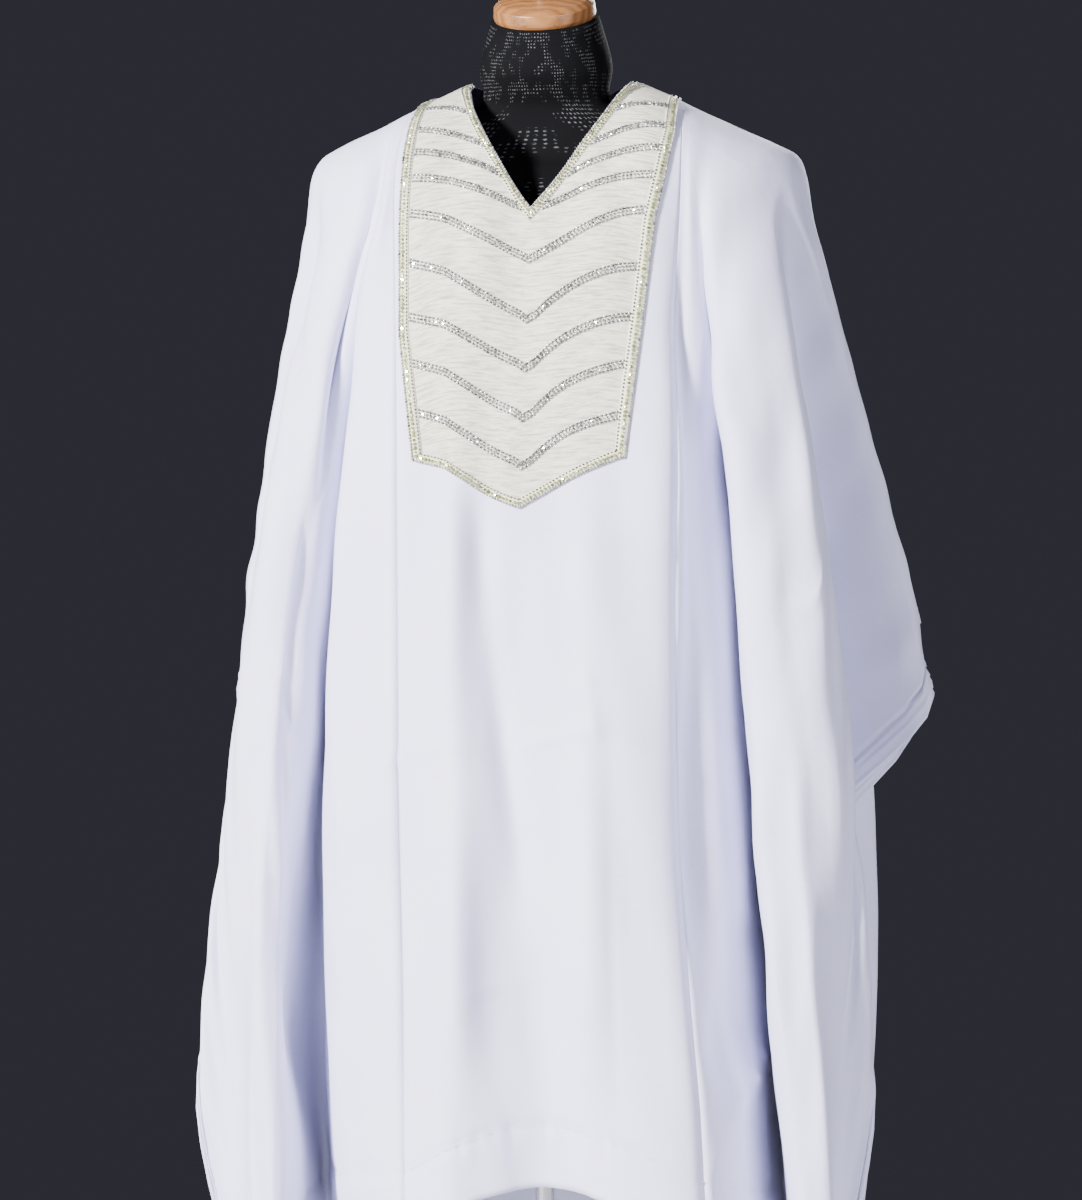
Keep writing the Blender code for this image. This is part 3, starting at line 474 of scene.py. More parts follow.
def back_places():
    halves = []
    for side in (1, -1):
        edge = bib_edge(side, 0.0)
        laid = np.linspace(NECK_HALF + BORDER, edge - BORDER, BIB_COLUMNS - 1)
        neck = np.linspace(0, NECK_HALF, BACK_NECK_COLUMNS + 1)
        starts = np.concatenate((neck, laid, [edge, SEAM.start]))
        starts = side * refine(starts, [5] * BACK_NECK_COLUMNS + BIB_CUTS + SEAM_CUTS, 0)
        columns = middle_column(starts, False)
        share = refine(seam_shares(side), ROW_CUTS, 0)
        drop = BACK_NECK_DROP * np.maximum(0, 1 - (starts / NECK_HALF) ** 2)
        first = (drop / of_lines("length", columns))[:, None]
        columns = np.broadcast_to(columns[:, None], (len(starts), len(share)))
        halves.append(Places(columns, first + (1 - first) * share))
    right, left = halves
    middle = (right.share[:1] + left.share[:1]) / 2
    return Places(
        np.vstack((right.column[::-1], left.column[1:])),
        np.vstack((right.share[:0:-1], middle, left.share[1:])),
    )


# --- relief: creases and soft folds in the flat cut
# Each has a width and a height, and runs through points of the cut (across, down), in millimetres.
Crease = namedtuple("Crease", "layer kind width height points")
FRONT, BACK = "front", "back"
PRESSED, SOFT = "pressed", "soft"
CREASE_ROWS = (
    (
        FRONT,
        SOFT,
        (17, -13, (-160, 50), (-210, 150), (-253, 230), (-293, 350), (-330, 460)),
        (16, 6, (-150, 120), (-185, 220), (-215, 340), (-225, 460)),
        (44, -15, (-310, 370), (-368, 510), (-410, 700), (-430, 920), (-440, 1120)),
        (30, 5, (-370, 100), (-386, 370), (-463, 550), (-546, 730), (-631, 830)),
        (7, 4.5, (-200, 400), (-212, 520), (-219, 640), (-216, 760), (-225, 900)),
        (6, -3.5, (-180, 340), (-189, 520), (-199, 640), (-200, 760)),
        (24, 11, (-80, 420), (-78, 500), (-83, 660), (-85, 860), (-90, 1100)),
        (20, -10, (-58, 450), (-48, 520), (-26, 670), (-4, 800), (4, 920)),
        (18, 8, (58, 460), (62, 600), (63, 800), (60, 1100)),
        (26, -15, (150, 120), (162, 300), (190, 420), (200, 560), (198, 750), (195, 960)),
        (60, -13, (150, 440), (176, 600), (190, 800), (200, 1060)),
        (20, 8, (180, 160), (250, 280), (311, 370), (356, 510), (415, 700), (479, 880), (520, 1020)),
        (18, 5, (335, 180), (396, 360), (467, 540), (554, 690)),
        (30, -6, (300, 160), (350, 300), (410, 500), (480, 740), (540, 980)),
        (16, -7, (545, 240), (580, 420), (610, 620), (630, 900)),
        (18, 5, (600, 140), (655, 240), (700, 340)),
        (14, -5, (-560, 220), (-600, 400), (-620, 600), (-640, 860)),
    ),
    (FRONT, PRESSED, (12, 7, (360, 930), (327, 972), (259, 1036), (165, 1118))),
    (FRONT, SOFT, (30, -9, (270, 840), (250, 950), (190, 1030))),
    (
        FRONT,
        PRESSED,
        (6, -1.8, (83, 680), (81, 900), (80, 1100)),
        (4, 1.6, (134, 420), (136, 540)),
        (4, 1.6, (168, 480), (159, 620)),
        (5, 2, (-155, 711), (-90, 722), (-30, 716)),
        (5, 2, (-50, 718), (36, 712), (73, 703), (110, 718), (143, 724)),
        (6, 2.6, (60, 640), (73, 725)),
        (7, 3.2, (-145, 712), (-178, 724)),
        (6, 2.6, (125, 722), (170, 725)),
        (8, 1.2, (-90, 964), (40, 931)),
        (6, 2.4, (437, 390), (431, 430), (412, 530), (391, 610), (374, 670)),
        (7, -2.4, (-475, 470), (-439, 540), (-387, 645), (-370, 680)),
        (7, 2, (-560, 743), (-513, 753), (-423, 781)),
    ),
    (
        BACK,
        PRESSED,
        (5, 1.8, (-160, 728), (-50, 733), (50, 730), (160, 736)),
        (6, 1.4, (-150, 402), (-30, 398), (150, 405)),
        (6, 2, (380, 660), (420, 560), (450, 470)),
        (6, 2, (-400, 700), (-430, 600), (-460, 520)),
    ),
    (
        BACK,
        SOFT,
        (20, -10, (-60, 360), (-48, 620), (-42, 860), (-52, 1160)),
        (20, 7, (40, 300), (36, 600), (44, 880), (50, 1180)),
        (14, -6, (95, 420), (100, 680), (92, 950), (100, 1180)),
        (22, -11, (150, 160), (180, 400), (205, 620), (225, 920)),
        (22, -11, (-150, 140), (-182, 380), (-200, 580), (-222, 880)),
        (20, 7, (200, 180), (300, 380), (380, 620), (450, 900), (500, 1080)),
        (20, 7, (-200, 160), (-290, 360), (-370, 640), (-440, 920), (-490, 1080)),
        (18, -6, (420, 220), (500, 500), (560, 800)),
        (18, -6, (-430, 240), (-510, 520), (-580, 840)),
    ),
)
CREASES = [
    Crease(layer, kind, width / 1000, height / 1000, np.array(points) / 1000)
    for layer, kind, *rows in CREASE_ROWS
    for width, height, *points in rows
]
CREASE_FADE = 0.22  # of its length, at either end
CREASE_UNEVEN, CREASE_BEATS = 0.35, 9  # its height goes up and down along it
FAR_AWAY = 9.0
TURN = 2 * math.pi
BACK_PHASE = 2.1  # sets the back's waves off from the front's
WAVE_COUNT = 18

rng = np.random.default_rng(11)
WAVES = [
    (
        TURN / rng.uniform(0.045, 0.15),
        TURN / rng.uniform(0.30, 0.90) * rng.choice((-1, 1)),
        rng.uniform(0, TURN),
        rng.uniform(0.0002, 0.0006),
    )
    for _ in range(WAVE_COUNT)
]
PUCKERS = ((0.012, 0.4, 0.00055), (0.019, 2.0, 0.00065), (0.033, 4.1, 0.00070))  # pitch, phase, height
PUCKER_DRIFT, PUCKER_DRIFT_RATE = 1.7, 7  # keeps the pitch from being even
PUCKER_BELOW, PUCKER_ABOVE, PUCKER_AT_EDGE = 0.020, 0.008, 0.010  # how far from stitching and edge
EDGE_PUCKERS = 0.5  # as a share of those at the stitching
STITCH_DIP, STITCH_DIP_WIDTH = 0.0020, 0.004
DIP_IN_HEM = 0.4  # as a share of the dip above the stitching
LAP_IN, LAP_IN_WIDTH = 0.0022, 0.012
LAP_OUT, LAP_OUT_WIDTH = 0.0016, 0.006
NEAR_SEAM = 4  # columns from the middle of the front or back
ROOM = 0.018  # fold lines closer than this flatten the relief
LEAST_RELIEF, SHOULDER_RELIEF = 0.12, 0.25
SHARE_STEP, COLUMN_STEP = 0.0015, 0.012


def along_line(a, d, points):
    """Distance from a polyline and the share of the way along it."""
    steps = np.linalg.norm(np.diff(points, axis=0), axis=1)
    done, total = 0.0, steps.sum()
    best, where = np.full(a.shape, FAR_AWAY), np.zeros(a.shape)
    for (a0, d0), (a1, d1), step in zip(points, points[1:], steps):
        t = np.clip(((a - a0) * (a1 - a0) + (d - d0) * (d1 - d0)) / step**2, 0, 1)
        far = np.hypot(a - a0 - t * (a1 - a0), d - d0 - t * (d1 - d0))
        nearer = far < best
        best = np.where(nearer, far, best)
        where = np.where(nearer, (done + t * step) / total, where)
        done += step
    return best, where


def in_cut(places):
    """Across and down in the flat cut."""
    start = of_lines("start", places.column)
    a = start + (of_lines("across", places.column) - start) * places.share
    return a, of_lines("down", places.column) * places.share


def crease_height(a, d, front):
    height = np.zeros(a.shape)
    for along, down, phase, size in WAVES:
        height += size * np.sin(along * a + down * d + phase + BACK_PHASE * (1 - front))
    for crease in CREASES:
        far, where = along_line(a, d, crease.points)
        if crease.kind == PRESSED:
            shape = np.exp(-far / crease.width)
        else:
            shape = np.exp(-((far / crease.width) ** 2))
        fade = smooth(np.minimum(where, 1 - where) / CREASE_FADE)
        phase = 40 * crease.width + 31 * crease.points[0][1]  # another one for each crease
        uneven = 1 + CREASE_UNEVEN * np.sin(CREASE_BEATS * where + phase)
        on_layer = front if crease.layer == FRONT else 1 - front
        height += crease.height * shape * fade * uneven * on_layer
    return height


def hem_height(a, d, up, hem):
    """Puckers at the hem's stitching and edge, and the dip along the stitching."""
    below = np.where(up < hem, PUCKER_BELOW, PUCKER_ABOVE)
    weight = np.exp(-(((up - hem) / below) ** 2)) + EDGE_PUCKERS * np.exp(-((up / PUCKER_AT_EDGE) ** 2))
    # across along the bottom hem, and more and more down towards the sleeve edges
    run = a * smooth((0.8 - np.abs(a)) / 0.2) + d * smooth((np.abs(a) - 0.5) / 0.2)
    height = np.zeros(a.shape)
    for pitch, phase, size in PUCKERS:
        phase = phase + PUCKER_DRIFT * np.sin(PUCKER_DRIFT_RATE * run)
        height += size * np.sin(TURN / pitch * run + phase) * weight
    dip = STITCH_DIP * np.exp(-np.abs(up - hem) / STITCH_DIP_WIDTH)
    return height - dip * np.where(up < hem, DIP_IN_HEM, 1)


def seam_height(a, d, column, share):
    """The centre panel's edges stand up a little, and the cloth dips beside them."""
    seam = np.abs(a) - (SEAM.start + (SEAM.across - SEAM.start) * share)
    inside, seam = seam < -1e-6, np.abs(seam)
    middle = np.abs(column - (FRONT_SEAM[-1] + FRONT_SEAM[1]) / 2) < NEAR_SEAM
    middle |= np.abs(column - (BACK_SEAM[-1] + BACK_SEAM[1]) / 2) < NEAR_SEAM
    lap_in, lap_out = LAP_IN * np.exp(-seam / LAP_IN_WIDTH), LAP_OUT * np.exp(-seam / LAP_OUT_WIDTH)
    lap = np.where(inside, lap_in, -lap_out)
    return np.where(middle, lap * smooth((d - 0.10) / 0.3), 0)


def relief_at(places):
    """How far the surface stands out; little on the shoulders and where folds are close."""
    a, d = in_cut(places)
    column = places.column % ALL_LINES
    hem = of_lines("hem", column)
    up = of_lines("length", column) * (1 - places.share)
    height = crease_height(a, d, (column <= RIGHT_CROWN).astype(float))
    height += hem_height(a, d, up, hem) + seam_height(a, d, column, places.share)
    room = np.clip(gap_at(column, places.share) / ROOM, LEAST_RELIEF, 1)
    return height * room * (SHOULDER_RELIEF + (1 - SHOULDER_RELIEF) * smooth((d - 0.02) / 0.12))


def facing(places, relief=None):
    """Normals from the surface a little to each side, lifted by their relief if asked."""
    column, share = places
    sides = []
    for shift in (Places(0.0, SHARE_STEP), Places(COLUMN_STEP, 0.0)):
        ends = []
        for way in (-1, 1):
            at = Places(column + way * shift.column, np.clip(share + way * shift.share, 0, 1))
            point = sheet(*at)
            ends.append(point if relief is None else point + relief * relief_at(at)[..., None])
        sides.append(ends[1] - ends[0])
    normal = np.cross(*sides)
    return normal / np.maximum(np.linalg.norm(normal, axis=-1, keepdims=True), 1e-12)


def cloth_points(places, height=0.0):
    """Points of the surface with its relief, and its normals."""
    base = sheet(*places)
    plain = facing(places)
    top = places.share == 0
    if top.any():
        base[top] = [shoulder_point(start) for start in of_lines("start", places.column[top])]
    raised = base + plain * relief_at(places)[..., None]
    normal = facing(places, plain)
    return raised + normal * height, normal


# --- meshes
WELD = 2e-6  # points this close are one
ON_AXIS = 1e-9


def new_object(name, points, faces, looks, uv=None, face_looks=None, smooth_faces=True, shades=None):
    mesh = bpy.data.meshes.new(name)
    mesh.from_pydata(np.asarray(points).tolist(), [], faces)
    mesh.update()
    smooth_faces = np.broadcast_to(smooth_faces, len(mesh.polygons)).tolist()
    mesh.polygons.foreach_set("use_smooth", smooth_faces)
    if face_looks is not None:
        mesh.polygons.foreach_set("material_index", face_looks)
    if uv is not None:
        corner = np.empty(len(mesh.loops), np.int32)
        mesh.loops.foreach_get("vertex_index", corner)
        layer = mesh.uv_layers.new(name="flat")
        layer.data.foreach_set("uv", np.asarray(uv, np.float32)[corner].ravel())
    if shades is not None:
        layer = mesh.attributes.new("shade", "FLOAT", "POINT")
        layer.data.foreach_set("value", np.asarray(shades, np.float32))
    for look in looks:
        mesh.materials.append(look)
    made = bpy.data.objects.new(name, mesh)
    bpy.context.scene.collection.objects.link(made)
    return made


def grid_quads(ids):
    quads = np.stack((ids[:-1, :-1], ids[:-1, 1:], ids[1:, 1:], ids[1:, :-1]), axis=-1)
    return [tuple(quad) for quad in quads.reshape(-1, 4).tolist()]


def shell_faces(quads, count):
    """Faces of a thin closed piece; its other side's points are count further on."""
    directed = {(quad[k - 1], quad[k]) for quad in quads for k in range(len(quad))}
    rim = sorted((a, b) for a, b in directed if (b, a) not in directed)
    other = [tuple(v + count for v in quad[::-1]) for quad in quads]
    return quads + other + [(b, a, a + count, b + count) for a, b in rim]


def cloth_shell(name, patches, look):
    """A thin closed cloth on patches of (points, uv, thickness), welded where they touch."""
    found, mid, uvs, thick, quads = {}, [], [], [], []
    for points, uv, wall in patches:
        wall = np.broadcast_to(wall, points.shape[:2])
        keys = np.round(points / WELD).astype(np.int64)
        ids = np.empty(wall.shape, np.int64)
        for at in np.ndindex(ids.shape):
            key = tuple(keys[at])
            if key not in found:
                found[key] = len(mid)
                mid.append(points[at])
                uvs.append(uv[at])
                thick.append(wall[at])
            ids[at] = found[key]
        quads += [tuple(dict.fromkeys(quad)) for quad in grid_quads(ids)]
    quads = [quad for quad in quads if len(quad) > 2]
    mid = np.array(mid)
    plain = bpy.data.meshes.new("plain")
    plain.from_pydata(mid.tolist(), [], quads)
    plain.update()
    normal = np.empty(mid.size, np.float32)
    plain.vertex_normals.foreach_get("vector", normal)
    bpy.data.meshes.remove(plain)
    lift = normal.reshape(-1, 3) * (np.array(thick)[:, None] / 2)
    points = np.vstack((mid + lift, mid - lift))
    return new_object(name, points, shell_faces(quads, len(mid)), [look], np.vstack((uvs, uvs)))


def circle(count, shift=0.0):
    turn = TURN * (np.arange(count) + shift) / count
    return np.stack((np.cos(turn), np.sin(turn)), axis=1).tolist()


def ring_faces(rings):
    """Faces between rings of points, where a pole is a ring of one point repeated."""
    return [
        tuple(dict.fromkeys((low[k - 1], low[k], high[k], high[k - 1])))
        for low, high in zip(rings, rings[1:])
        for k in range(len(low))
    ]


def turned(profile, sides):
    """Points and faces of a solid of revolution."""
    points, rings = [], []
    for radius, height in profile:
        on_axis = radius < ON_AXIS
        rings.append([len(points)] * sides if on_axis else range(len(points), len(points) + sides))
        ring = [(0, 0)] if on_axis else circle(sides)
        points += [(radius * x, radius * y, height) for x, y in ring]
    return np.array(points), ring_faces(rings)


# --- beads
def gem_mesh(sides):
    """A cut stone: a flat table, a crown of facets and a flat back."""
    rings = ((1.0, -0.2, 0), (1.0, 0.15, 0), (0.55, 0.75, 0.5))
    points = [(size * x, size * y, z) for size, z, shift in rings for x, y in circle(sides, shift)]
    faces = [tuple(range(sides))[::-1], tuple(range(2 * sides, 3 * sides))]
    for k in range(sides):
        n = (k + 1) % sides
        faces += [(k, n, n + sides, k + sides), (sides + k, sides + n, 2 * sides + k)]
        faces.append((sides + n, 2 * sides + n, 2 * sides + k))
    return np.array(points), faces


BEAD_SIDES, BEAD_RINGS = 6, 5
BEAD = turned([(math.sin(t), -math.cos(t)) for t in np.linspace(0, math.pi, BEAD_RINGS)], BEAD_SIDES)
GEM = gem_mesh(BEAD_SIDES)
GEM_TILT, TURN_SPREAD, TINT_SPREAD = 0.16, 0.08, 0.28
SIZE_SPREAD = (0.92, 1.08)


class Beading:
    """Many small pieces joined in one mesh, each with its own shade."""

    def __init__(self):
        self.points, self.faces, self.looks, self.shades = [], [], [], []
        self.smooth, self.count = [], 0

    def keep(self, points, faces, look, rounded, tint):
        self.points.append(points)
        self.faces += faces
        self.looks += [look] * len(faces)
        self.smooth += [rounded] * len(faces)
        self.shades.append(np.full(len(points), tint))
        self.count += len(points)

    def add(self, kind, centres, frames, sizes, look, turn=0.0, tint=0.5):
        """Copies at the centres; frames hold the along, down and out directions of each."""
        shape, faces = kind
        for centre, (along, down, out) in zip(centres, frames):
            angle = turn + rng.normal(0, TURN_SPREAD)
            cos, sin = math.cos(angle), math.sin(angle)
            axes = np.stack((along * cos + down * sin, down * cos - along * sin, out))
            if kind is GEM:
                axes = axes + rng.normal(0, GEM_TILT, (3, 3))
            size = np.array(sizes) * rng.uniform(*SIZE_SPREAD)
            placed = [tuple(v + self.count for v in face) for face in faces]
            own_tint = np.clip(tint + rng.normal(0, TINT_SPREAD), 0, 1)
            self.keep(centre + (shape * size) @ axes, placed, look, kind is BEAD, own_tint)

    def strip(self, points, normals, thick, look):
        """A thin tape on a grid of points."""
        outer, inner = (points + normals * thick).reshape(-1, 3), points.reshape(-1, 3)
        ids = np.arange(len(inner)).reshape(points.shape[:2]) + self.count
        faces = shell_faces(grid_quads(ids), len(inner))
        self.keep(np.vstack((outer, inner)), faces, look, True, 0.5)

    def build(self, name, looks):
        points, shades = np.vstack(self.points), np.concatenate(self.shades)
        return new_object(name, points, self.faces, looks, None, self.looks, self.smooth, shades)


# --- materials
class Look:
    """A material with its Principled shader and short ways to add nodes."""

    def __init__(self, name, colour, roughness, **inputs):
        self.material = bpy.data.materials.new(name)
        self.material.use_nodes = True
        self.material.diffuse_color = (*colour, 1)
        self.tree = self.material.node_tree
        self.shader = self.tree.nodes["Principled BSDF"]
        self.put(self.shader, Base_Color=(*colour, 1), Roughness=roughness, **inputs)

    def put(self, node, **values):
        """Sets the node's inputs, to numbers or to what other nodes give."""
        for name, value in values.items():
            self.join(value, node.inputs[name.replace("_", " ")])

    def join(self, value, socket):
        if isinstance(value, bpy.types.NodeSocket):
            self.tree.links.new(value, socket)
        else:
            socket.default_value = value

    def node(self, kind, settings=(), **values):
        made = self.tree.nodes.new("ShaderNode" + kind)
        for name, value in settings:
            setattr(made, name, value)
        self.put(made, **values)
        return made

    def mapped(self, output, stretch=(1, 1, 1)):
        """Texture coordinates from UV (the flat cut, in metres) or Object, stretched."""
        coords = self.node("TexCoord").outputs[output]
        return self.node("Mapping", Vector=coords, Scale=stretch).outputs["Vector"]

    def noise(self, output, scale, detail=3.0, rough=0.5, stretch=(1, 1, 1)):
        vector = self.mapped(output, stretch)
        made = self.node("TexNoise", Vector=vector, Scale=scale, Detail=detail, Roughness=rough)
        return made.outputs["Fac"]

    def maths(self, operation, *values):
        made = self.node("Math", [("operation", operation)])
        for value, socket in zip(values, made.inputs):
            self.join(value, socket)
        return made.outputs[0]

    def remap(self, value, low, high, to_low=0.0, to_high=1.0):
        ends = {"From_Min": low, "From_Max": high, "To_Min": to_low, "To_Max": to_high}
        return self.node("MapRange", Value=value, **ends).outputs["Result"]

    def blend(self, factor, first, second):
        made = self.node("Mix", [("data_type", "RGBA")], Factor=factor)
        sockets = [socket for socket in made.inputs if socket.type == "RGBA"]
        for colour, socket in zip((first, second), sockets):
            self.join((*colour, 1) if isinstance(colour, tuple) else colour, socket)
        return [socket for socket in made.outputs if socket.type == "RGBA"][0]

    def colour(self, *blend):
        self.put(self.shader, Base_Color=self.blend(*blend))

    def roughness(self, *remap):
        self.put(self.shader, Roughness=self.remap(*remap))

    def bump(self, height, distance, strength=1.0):
        made = self.node("Bump", Height=height, Distance=distance, Strength=strength)
        normal = self.shader.inputs["Normal"]
        if normal.is_linked:
            self.join(normal.links[0].from_socket, made.inputs["Normal"])
        self.join(made.outputs["Normal"], normal)

    def weave(self, pitch):
        """Heights of a plain weave: two thread directions, over and under by turns."""
        split = self.node("SeparateXYZ", Vector=self.mapped("UV", (1 / pitch, 1 / pitch, 1)))
        waves = [self.maths("SINE", self.maths("MULTIPLY", split.outputs[k], math.pi)) for k in (0, 1)]
        return self.maths("MULTIPLY", *waves)


def robe_look():
    look = Look("robe_cloth", (0.76, 0.76, 0.87), 0.62, Sheen_Weight=0.18, Sheen_Roughness=0.45)
    look.put(look.shader, Specular_IOR_Level=0.32)
    broad = look.noise("UV", 9.0)
    slub = look.noise("UV", 1.0, 2.0, stretch=(60, 700, 1))
    tint = look.blend(look.remap(broad, 0.35, 0.65), (0.640, 0.635, 0.865), (0.690, 0.688, 0.895))
    look.colour(look.remap(slub, 0.3, 0.75, 0, 0.5), tint, (0.725, 0.724, 0.915))
    look.roughness(broad, 0.3, 0.7, 0.56, 0.68)
    look.bump(look.noise("UV", 34.0, 4.0, 0.55), 0.0016, 0.35)
    look.bump(look.weave(0.0006), 0.00008, 0.6)
    return look.material


def bib_look():
    look = Look("bib_cloth", (0.80, 0.77, 0.70), 0.7, Sheen_Weight=0.12, Specular_IOR_Level=0.3)
    crinkle_and_shade = look.noise("UV", 1.0, 4.0, 0.62, (40, 430, 1))
    # the colour follows the crinkle heights of the bump: painted shade in the troughs and painted light on
    # the crests
    look.colour(look.remap(crinkle_and_shade, 0.36, 0.56), (0.48, 0.435, 0.35), (0.80, 0.755, 0.645))
    look.roughness(crinkle_and_shade, 0.3, 0.7, 0.6, 0.8)
    look.bump(crinkle_and_shade, 0.0024)
    look.bump(look.noise("UV", 1.0, 2.0, stretch=(160, 1300, 1)), 0.0006, 0.7)
    return look.material


def thread_look(name, dark, light):
    look = Look(name, light, 0.55, Sheen_Weight=0.2)
    grain = look.noise("Object", 900.0, 2.0)
    look.colour(look.remap(grain, 0.35, 0.65), dark, light)
    look.bump(grain, 0.0002, 0.6)
    return look.material


def bead_look(name, dark, light, metallic, roughness):
    """Beads whose tone goes by each one's shade."""
    look = Look(name, light, roughness, Metallic=metallic)
    shade = look.node("Attribute", [("attribute_name", "shade")]).outputs["Fac"]
    look.colour(shade, dark, light)
    look.roughness(shade, 0, 1, roughness * 1.3, roughness * 0.7)
    look.bump(look.noise("Object", 1400.0, 2.0), 0.0001, 0.4)
    return look.material


def form_look():
    """Black jersey with small pale dots that come and go in patches."""
    black = (0.004, 0.004, 0.005)
    look = Look("form_jersey", black, 0.85, Specular_IOR_Level=0.05)
    vector = look.mapped("UV", (1 / 0.0034, 1 / 0.0042, 1))
    cells = look.node("TexVoronoi", [("feature", "F1")], Vector=vector, Scale=1.0, Randomness=0.2)
    dots = look.remap(cells.outputs["Distance"], 0.18, 0.28, 1, 0)
    patches = look.remap(look.noise("UV", 1.0, 1.0, stretch=(58, 34, 1)), 0.50, 0.56)
    chosen = look.remap(look.noise("UV", 1.0, 1.0, stretch=(330, 300, 1)), 0.34, 0.46)
    speck = look.maths("MULTIPLY", look.maths("MULTIPLY", dots, patches), chosen)
    look.colour(speck, black, (0.085, 0.085, 0.09))
    look.bump(look.weave(0.0009), 0.00015, 0.7)
    return look.material


def wood_look():
    look = Look("turned_beech", (0.24, 0.10, 0.035), 0.42, Coat_Weight=0.12, Coat_Roughness=0.25)
    bands = [("wave_type", "BANDS"), ("bands_direction", "Y")]
    vector = look.mapped("Object", (1.0, 1.0, 0.35))
    rings = look.node("TexWave", bands, Vector=vector, Scale=34.0, Distortion=3.5, Detail=3.0)
    fleck = look.noise("Object", 1.0, stretch=(90, 900, 500))
    grain = look.blend(rings.outputs["Fac"], (0.15, 0.055, 0.016), (0.27, 0.115, 0.038))
    look.colour(look.remap(fleck, 0.3, 0.75, 0, 0.5), grain, (0.33, 0.15, 0.055))
    look.roughness(fleck, 0.3, 0.7, 0.30, 0.45)
    look.bump(fleck, 0.0002, 0.4)
    return look.material


def steel_look(name, dark, light, stretch):
    look = Look(name, light, 0.3, Metallic=1.0)
    brushed = look.noise("Object", 1.0, stretch=stretch)
    look.colour(look.noise("Object", 14.0), dark, light)
    look.roughness(brushed, 0.3, 0.7, 0.22, 0.40)
    look.bump(brushed, 0.00005, 0.5)
    return look.material


# --- the robe
CLOTH_WALL = 0.0007
HEM_FOLD = 0.0014
HEM_STEP = 0.001  # over which the one becomes the other
robe_cloth = robe_look()


def patch(places):
    """Points, flat coordinates and thickness of some of the robe."""
    points, _ = cloth_points(places)
    column = places.column % ALL_LINES
    up = of_lines("length", column) * (1 - places.share)
    in_hem = smooth((of_lines("hem", column) + HEM_STEP / 2 - up) / HEM_STEP)
    return points, np.stack(in_cut(places), axis=-1), CLOTH_WALL + (HEM_FOLD - CLOTH_WALL) * in_hem


left_patches = [patch(side_places(-1))]
right_patches = [patch(side_places(1))]
centre_patches = [patch(front_places(-1)), patch(front_places(1)), patch(back_places())]
left_cloth = cloth_shell("left_cloth", left_patches, robe_cloth)
right_cloth = cloth_shell("right_cloth", right_patches, robe_cloth)
centre_cloth = cloth_shell("centre_cloth", centre_patches, robe_cloth)


# --- hem stitches
STITCH_STEP = 0.0034
STITCH_SIZE = (0.0012, 0.00026, 0.00026)
STITCH_OUT = 0.00085  # from the middle of the cloth
FROM_SEAM = 0.02  # in columns
HEM_POINTS = 260
thread = thread_look("white_thread", (0.62, 0.62, 0.66), (0.80, 0.80, 0.84))


def unit(vectors):
    return vectors / np.maximum(np.linalg.norm(vectors, axis=1, keepdims=True), 1e-9)


def local_frames(points, normals):
    along = unit(np.gradient(points, axis=0))
    down = unit(np.cross(normals, along))
    return list(zip(along, down, np.cross(along, down)))


def spaced(points, normals, step, margin=0.0):
    """Evenly spaced points on a line, with their normals."""
    run = run_along(points)
    count = max(2, int((run[-1] - 2 * margin) / step) + 1)
    even = np.linspace(margin, run[-1] - margin, count)
    return placed_at(even, run, points), unit(placed_at(even, run, normals))


def hem_stitches(name, *spans):
    """Stitches along the hem's stitching, seen on the outside and the inside."""
    work = Beading()
    for first, last in spans:
        columns = np.linspace(first + FROM_SEAM, last - FROM_SEAM, HEM_POINTS)
        shares = 1 - of_lines("hem", columns) / of_lines("length", columns)
        points, normals = spaced(*cloth_points(Places(columns, shares)), STITCH_STEP)
        for side in (1, -1):
            frames = local_frames(points, normals * side)
            work.add(BEAD, points + normals * side * STITCH_OUT, frames, STITCH_SIZE, 0, tint=0.6)
    return work.build(name, [thread])


left_stitches = hem_stitches("left_hem_stitches", (BACK_SEAM[-1], BACK_SEAM[-1] + 2 * SIDE_LINES - 2))
right_stitches = hem_stitches("right_hem_stitches", (FRONT_SEAM[1], BACK_SEAM[1]))
centre_spans = (FRONT_SEAM[-1], FRONT_SEAM[1]), (BACK_SEAM[1], BACK_SEAM[-1])
centre_stitches = hem_stitches("centre_hem_stitches", *centre_spans)

# --- the bib and its beadwork
BIB_LOW = 0.0012
BIB_THICK = 0.0007
TAPE_LOW = BIB_LOW + BIB_THICK / 2 + 0.0001
TAPE = 0.0005
STRIPE_INSET = 0.0005  # from the borders
BORDER_START = 0.003  # below the shoulder line
STRIPE_POINTS, SIDE_POINTS, BOTTOM_POINTS, NECK_POINTS = 44, 130, 60, 80
BORDER_TAPE = (0.02, 0.5, 0.98)  # where its tape's lines are, as shares of its width
BEAD_RAISED = 0.7  # of its half height, so that it is set a little into the tape
END_MARGIN = 0.001
bib_cloth = bib_look()
tape_look = thread_look("ivory_tape", (0.60, 0.58, 0.50), (0.76, 0.74, 0.66))
edge_tape = thread_look("cream_tape", (0.58, 0.57, 0.40), (0.74, 0.73, 0.56))
silver = bead_look("silver_beads", (0.12, 0.12, 0.13), (0.80, 0.80, 0.82), 0.6, 0.22)
rope = bead_look("grey_rope", (0.05, 0.05, 0.055), (0.17, 0.17, 0.18), 0.2, 0.45)
stones = bead_look("clear_stones", (0.30, 0.30, 0.24), (1.0, 1.0, 0.96), 0.85, 0.08)
cord_white = bead_look("edge_cord", (0.07, 0.07, 0.08), (0.62, 0.61, 0.60), 0.2, 0.40)
sequins = bead_look("gold_sequins", (0.20, 0.21, 0.07), (0.88, 0.90, 0.50), 0.7, 0.16)


def bib_patch(side):
    starts, drops, _ = front_params(side)
    places = fine_places(side, starts, drops, BIB_ROW_CUTS, BIB_CUTS)
    points, _ = cloth_points(places, BIB_LOW)
    return points, np.stack(in_cut(places), axis=-1), BIB_THICK


bib_patches = [bib_patch(side) for side in (-1, 1)]
bib = cloth_shell("bib_cloth", bib_patches, bib_cloth)


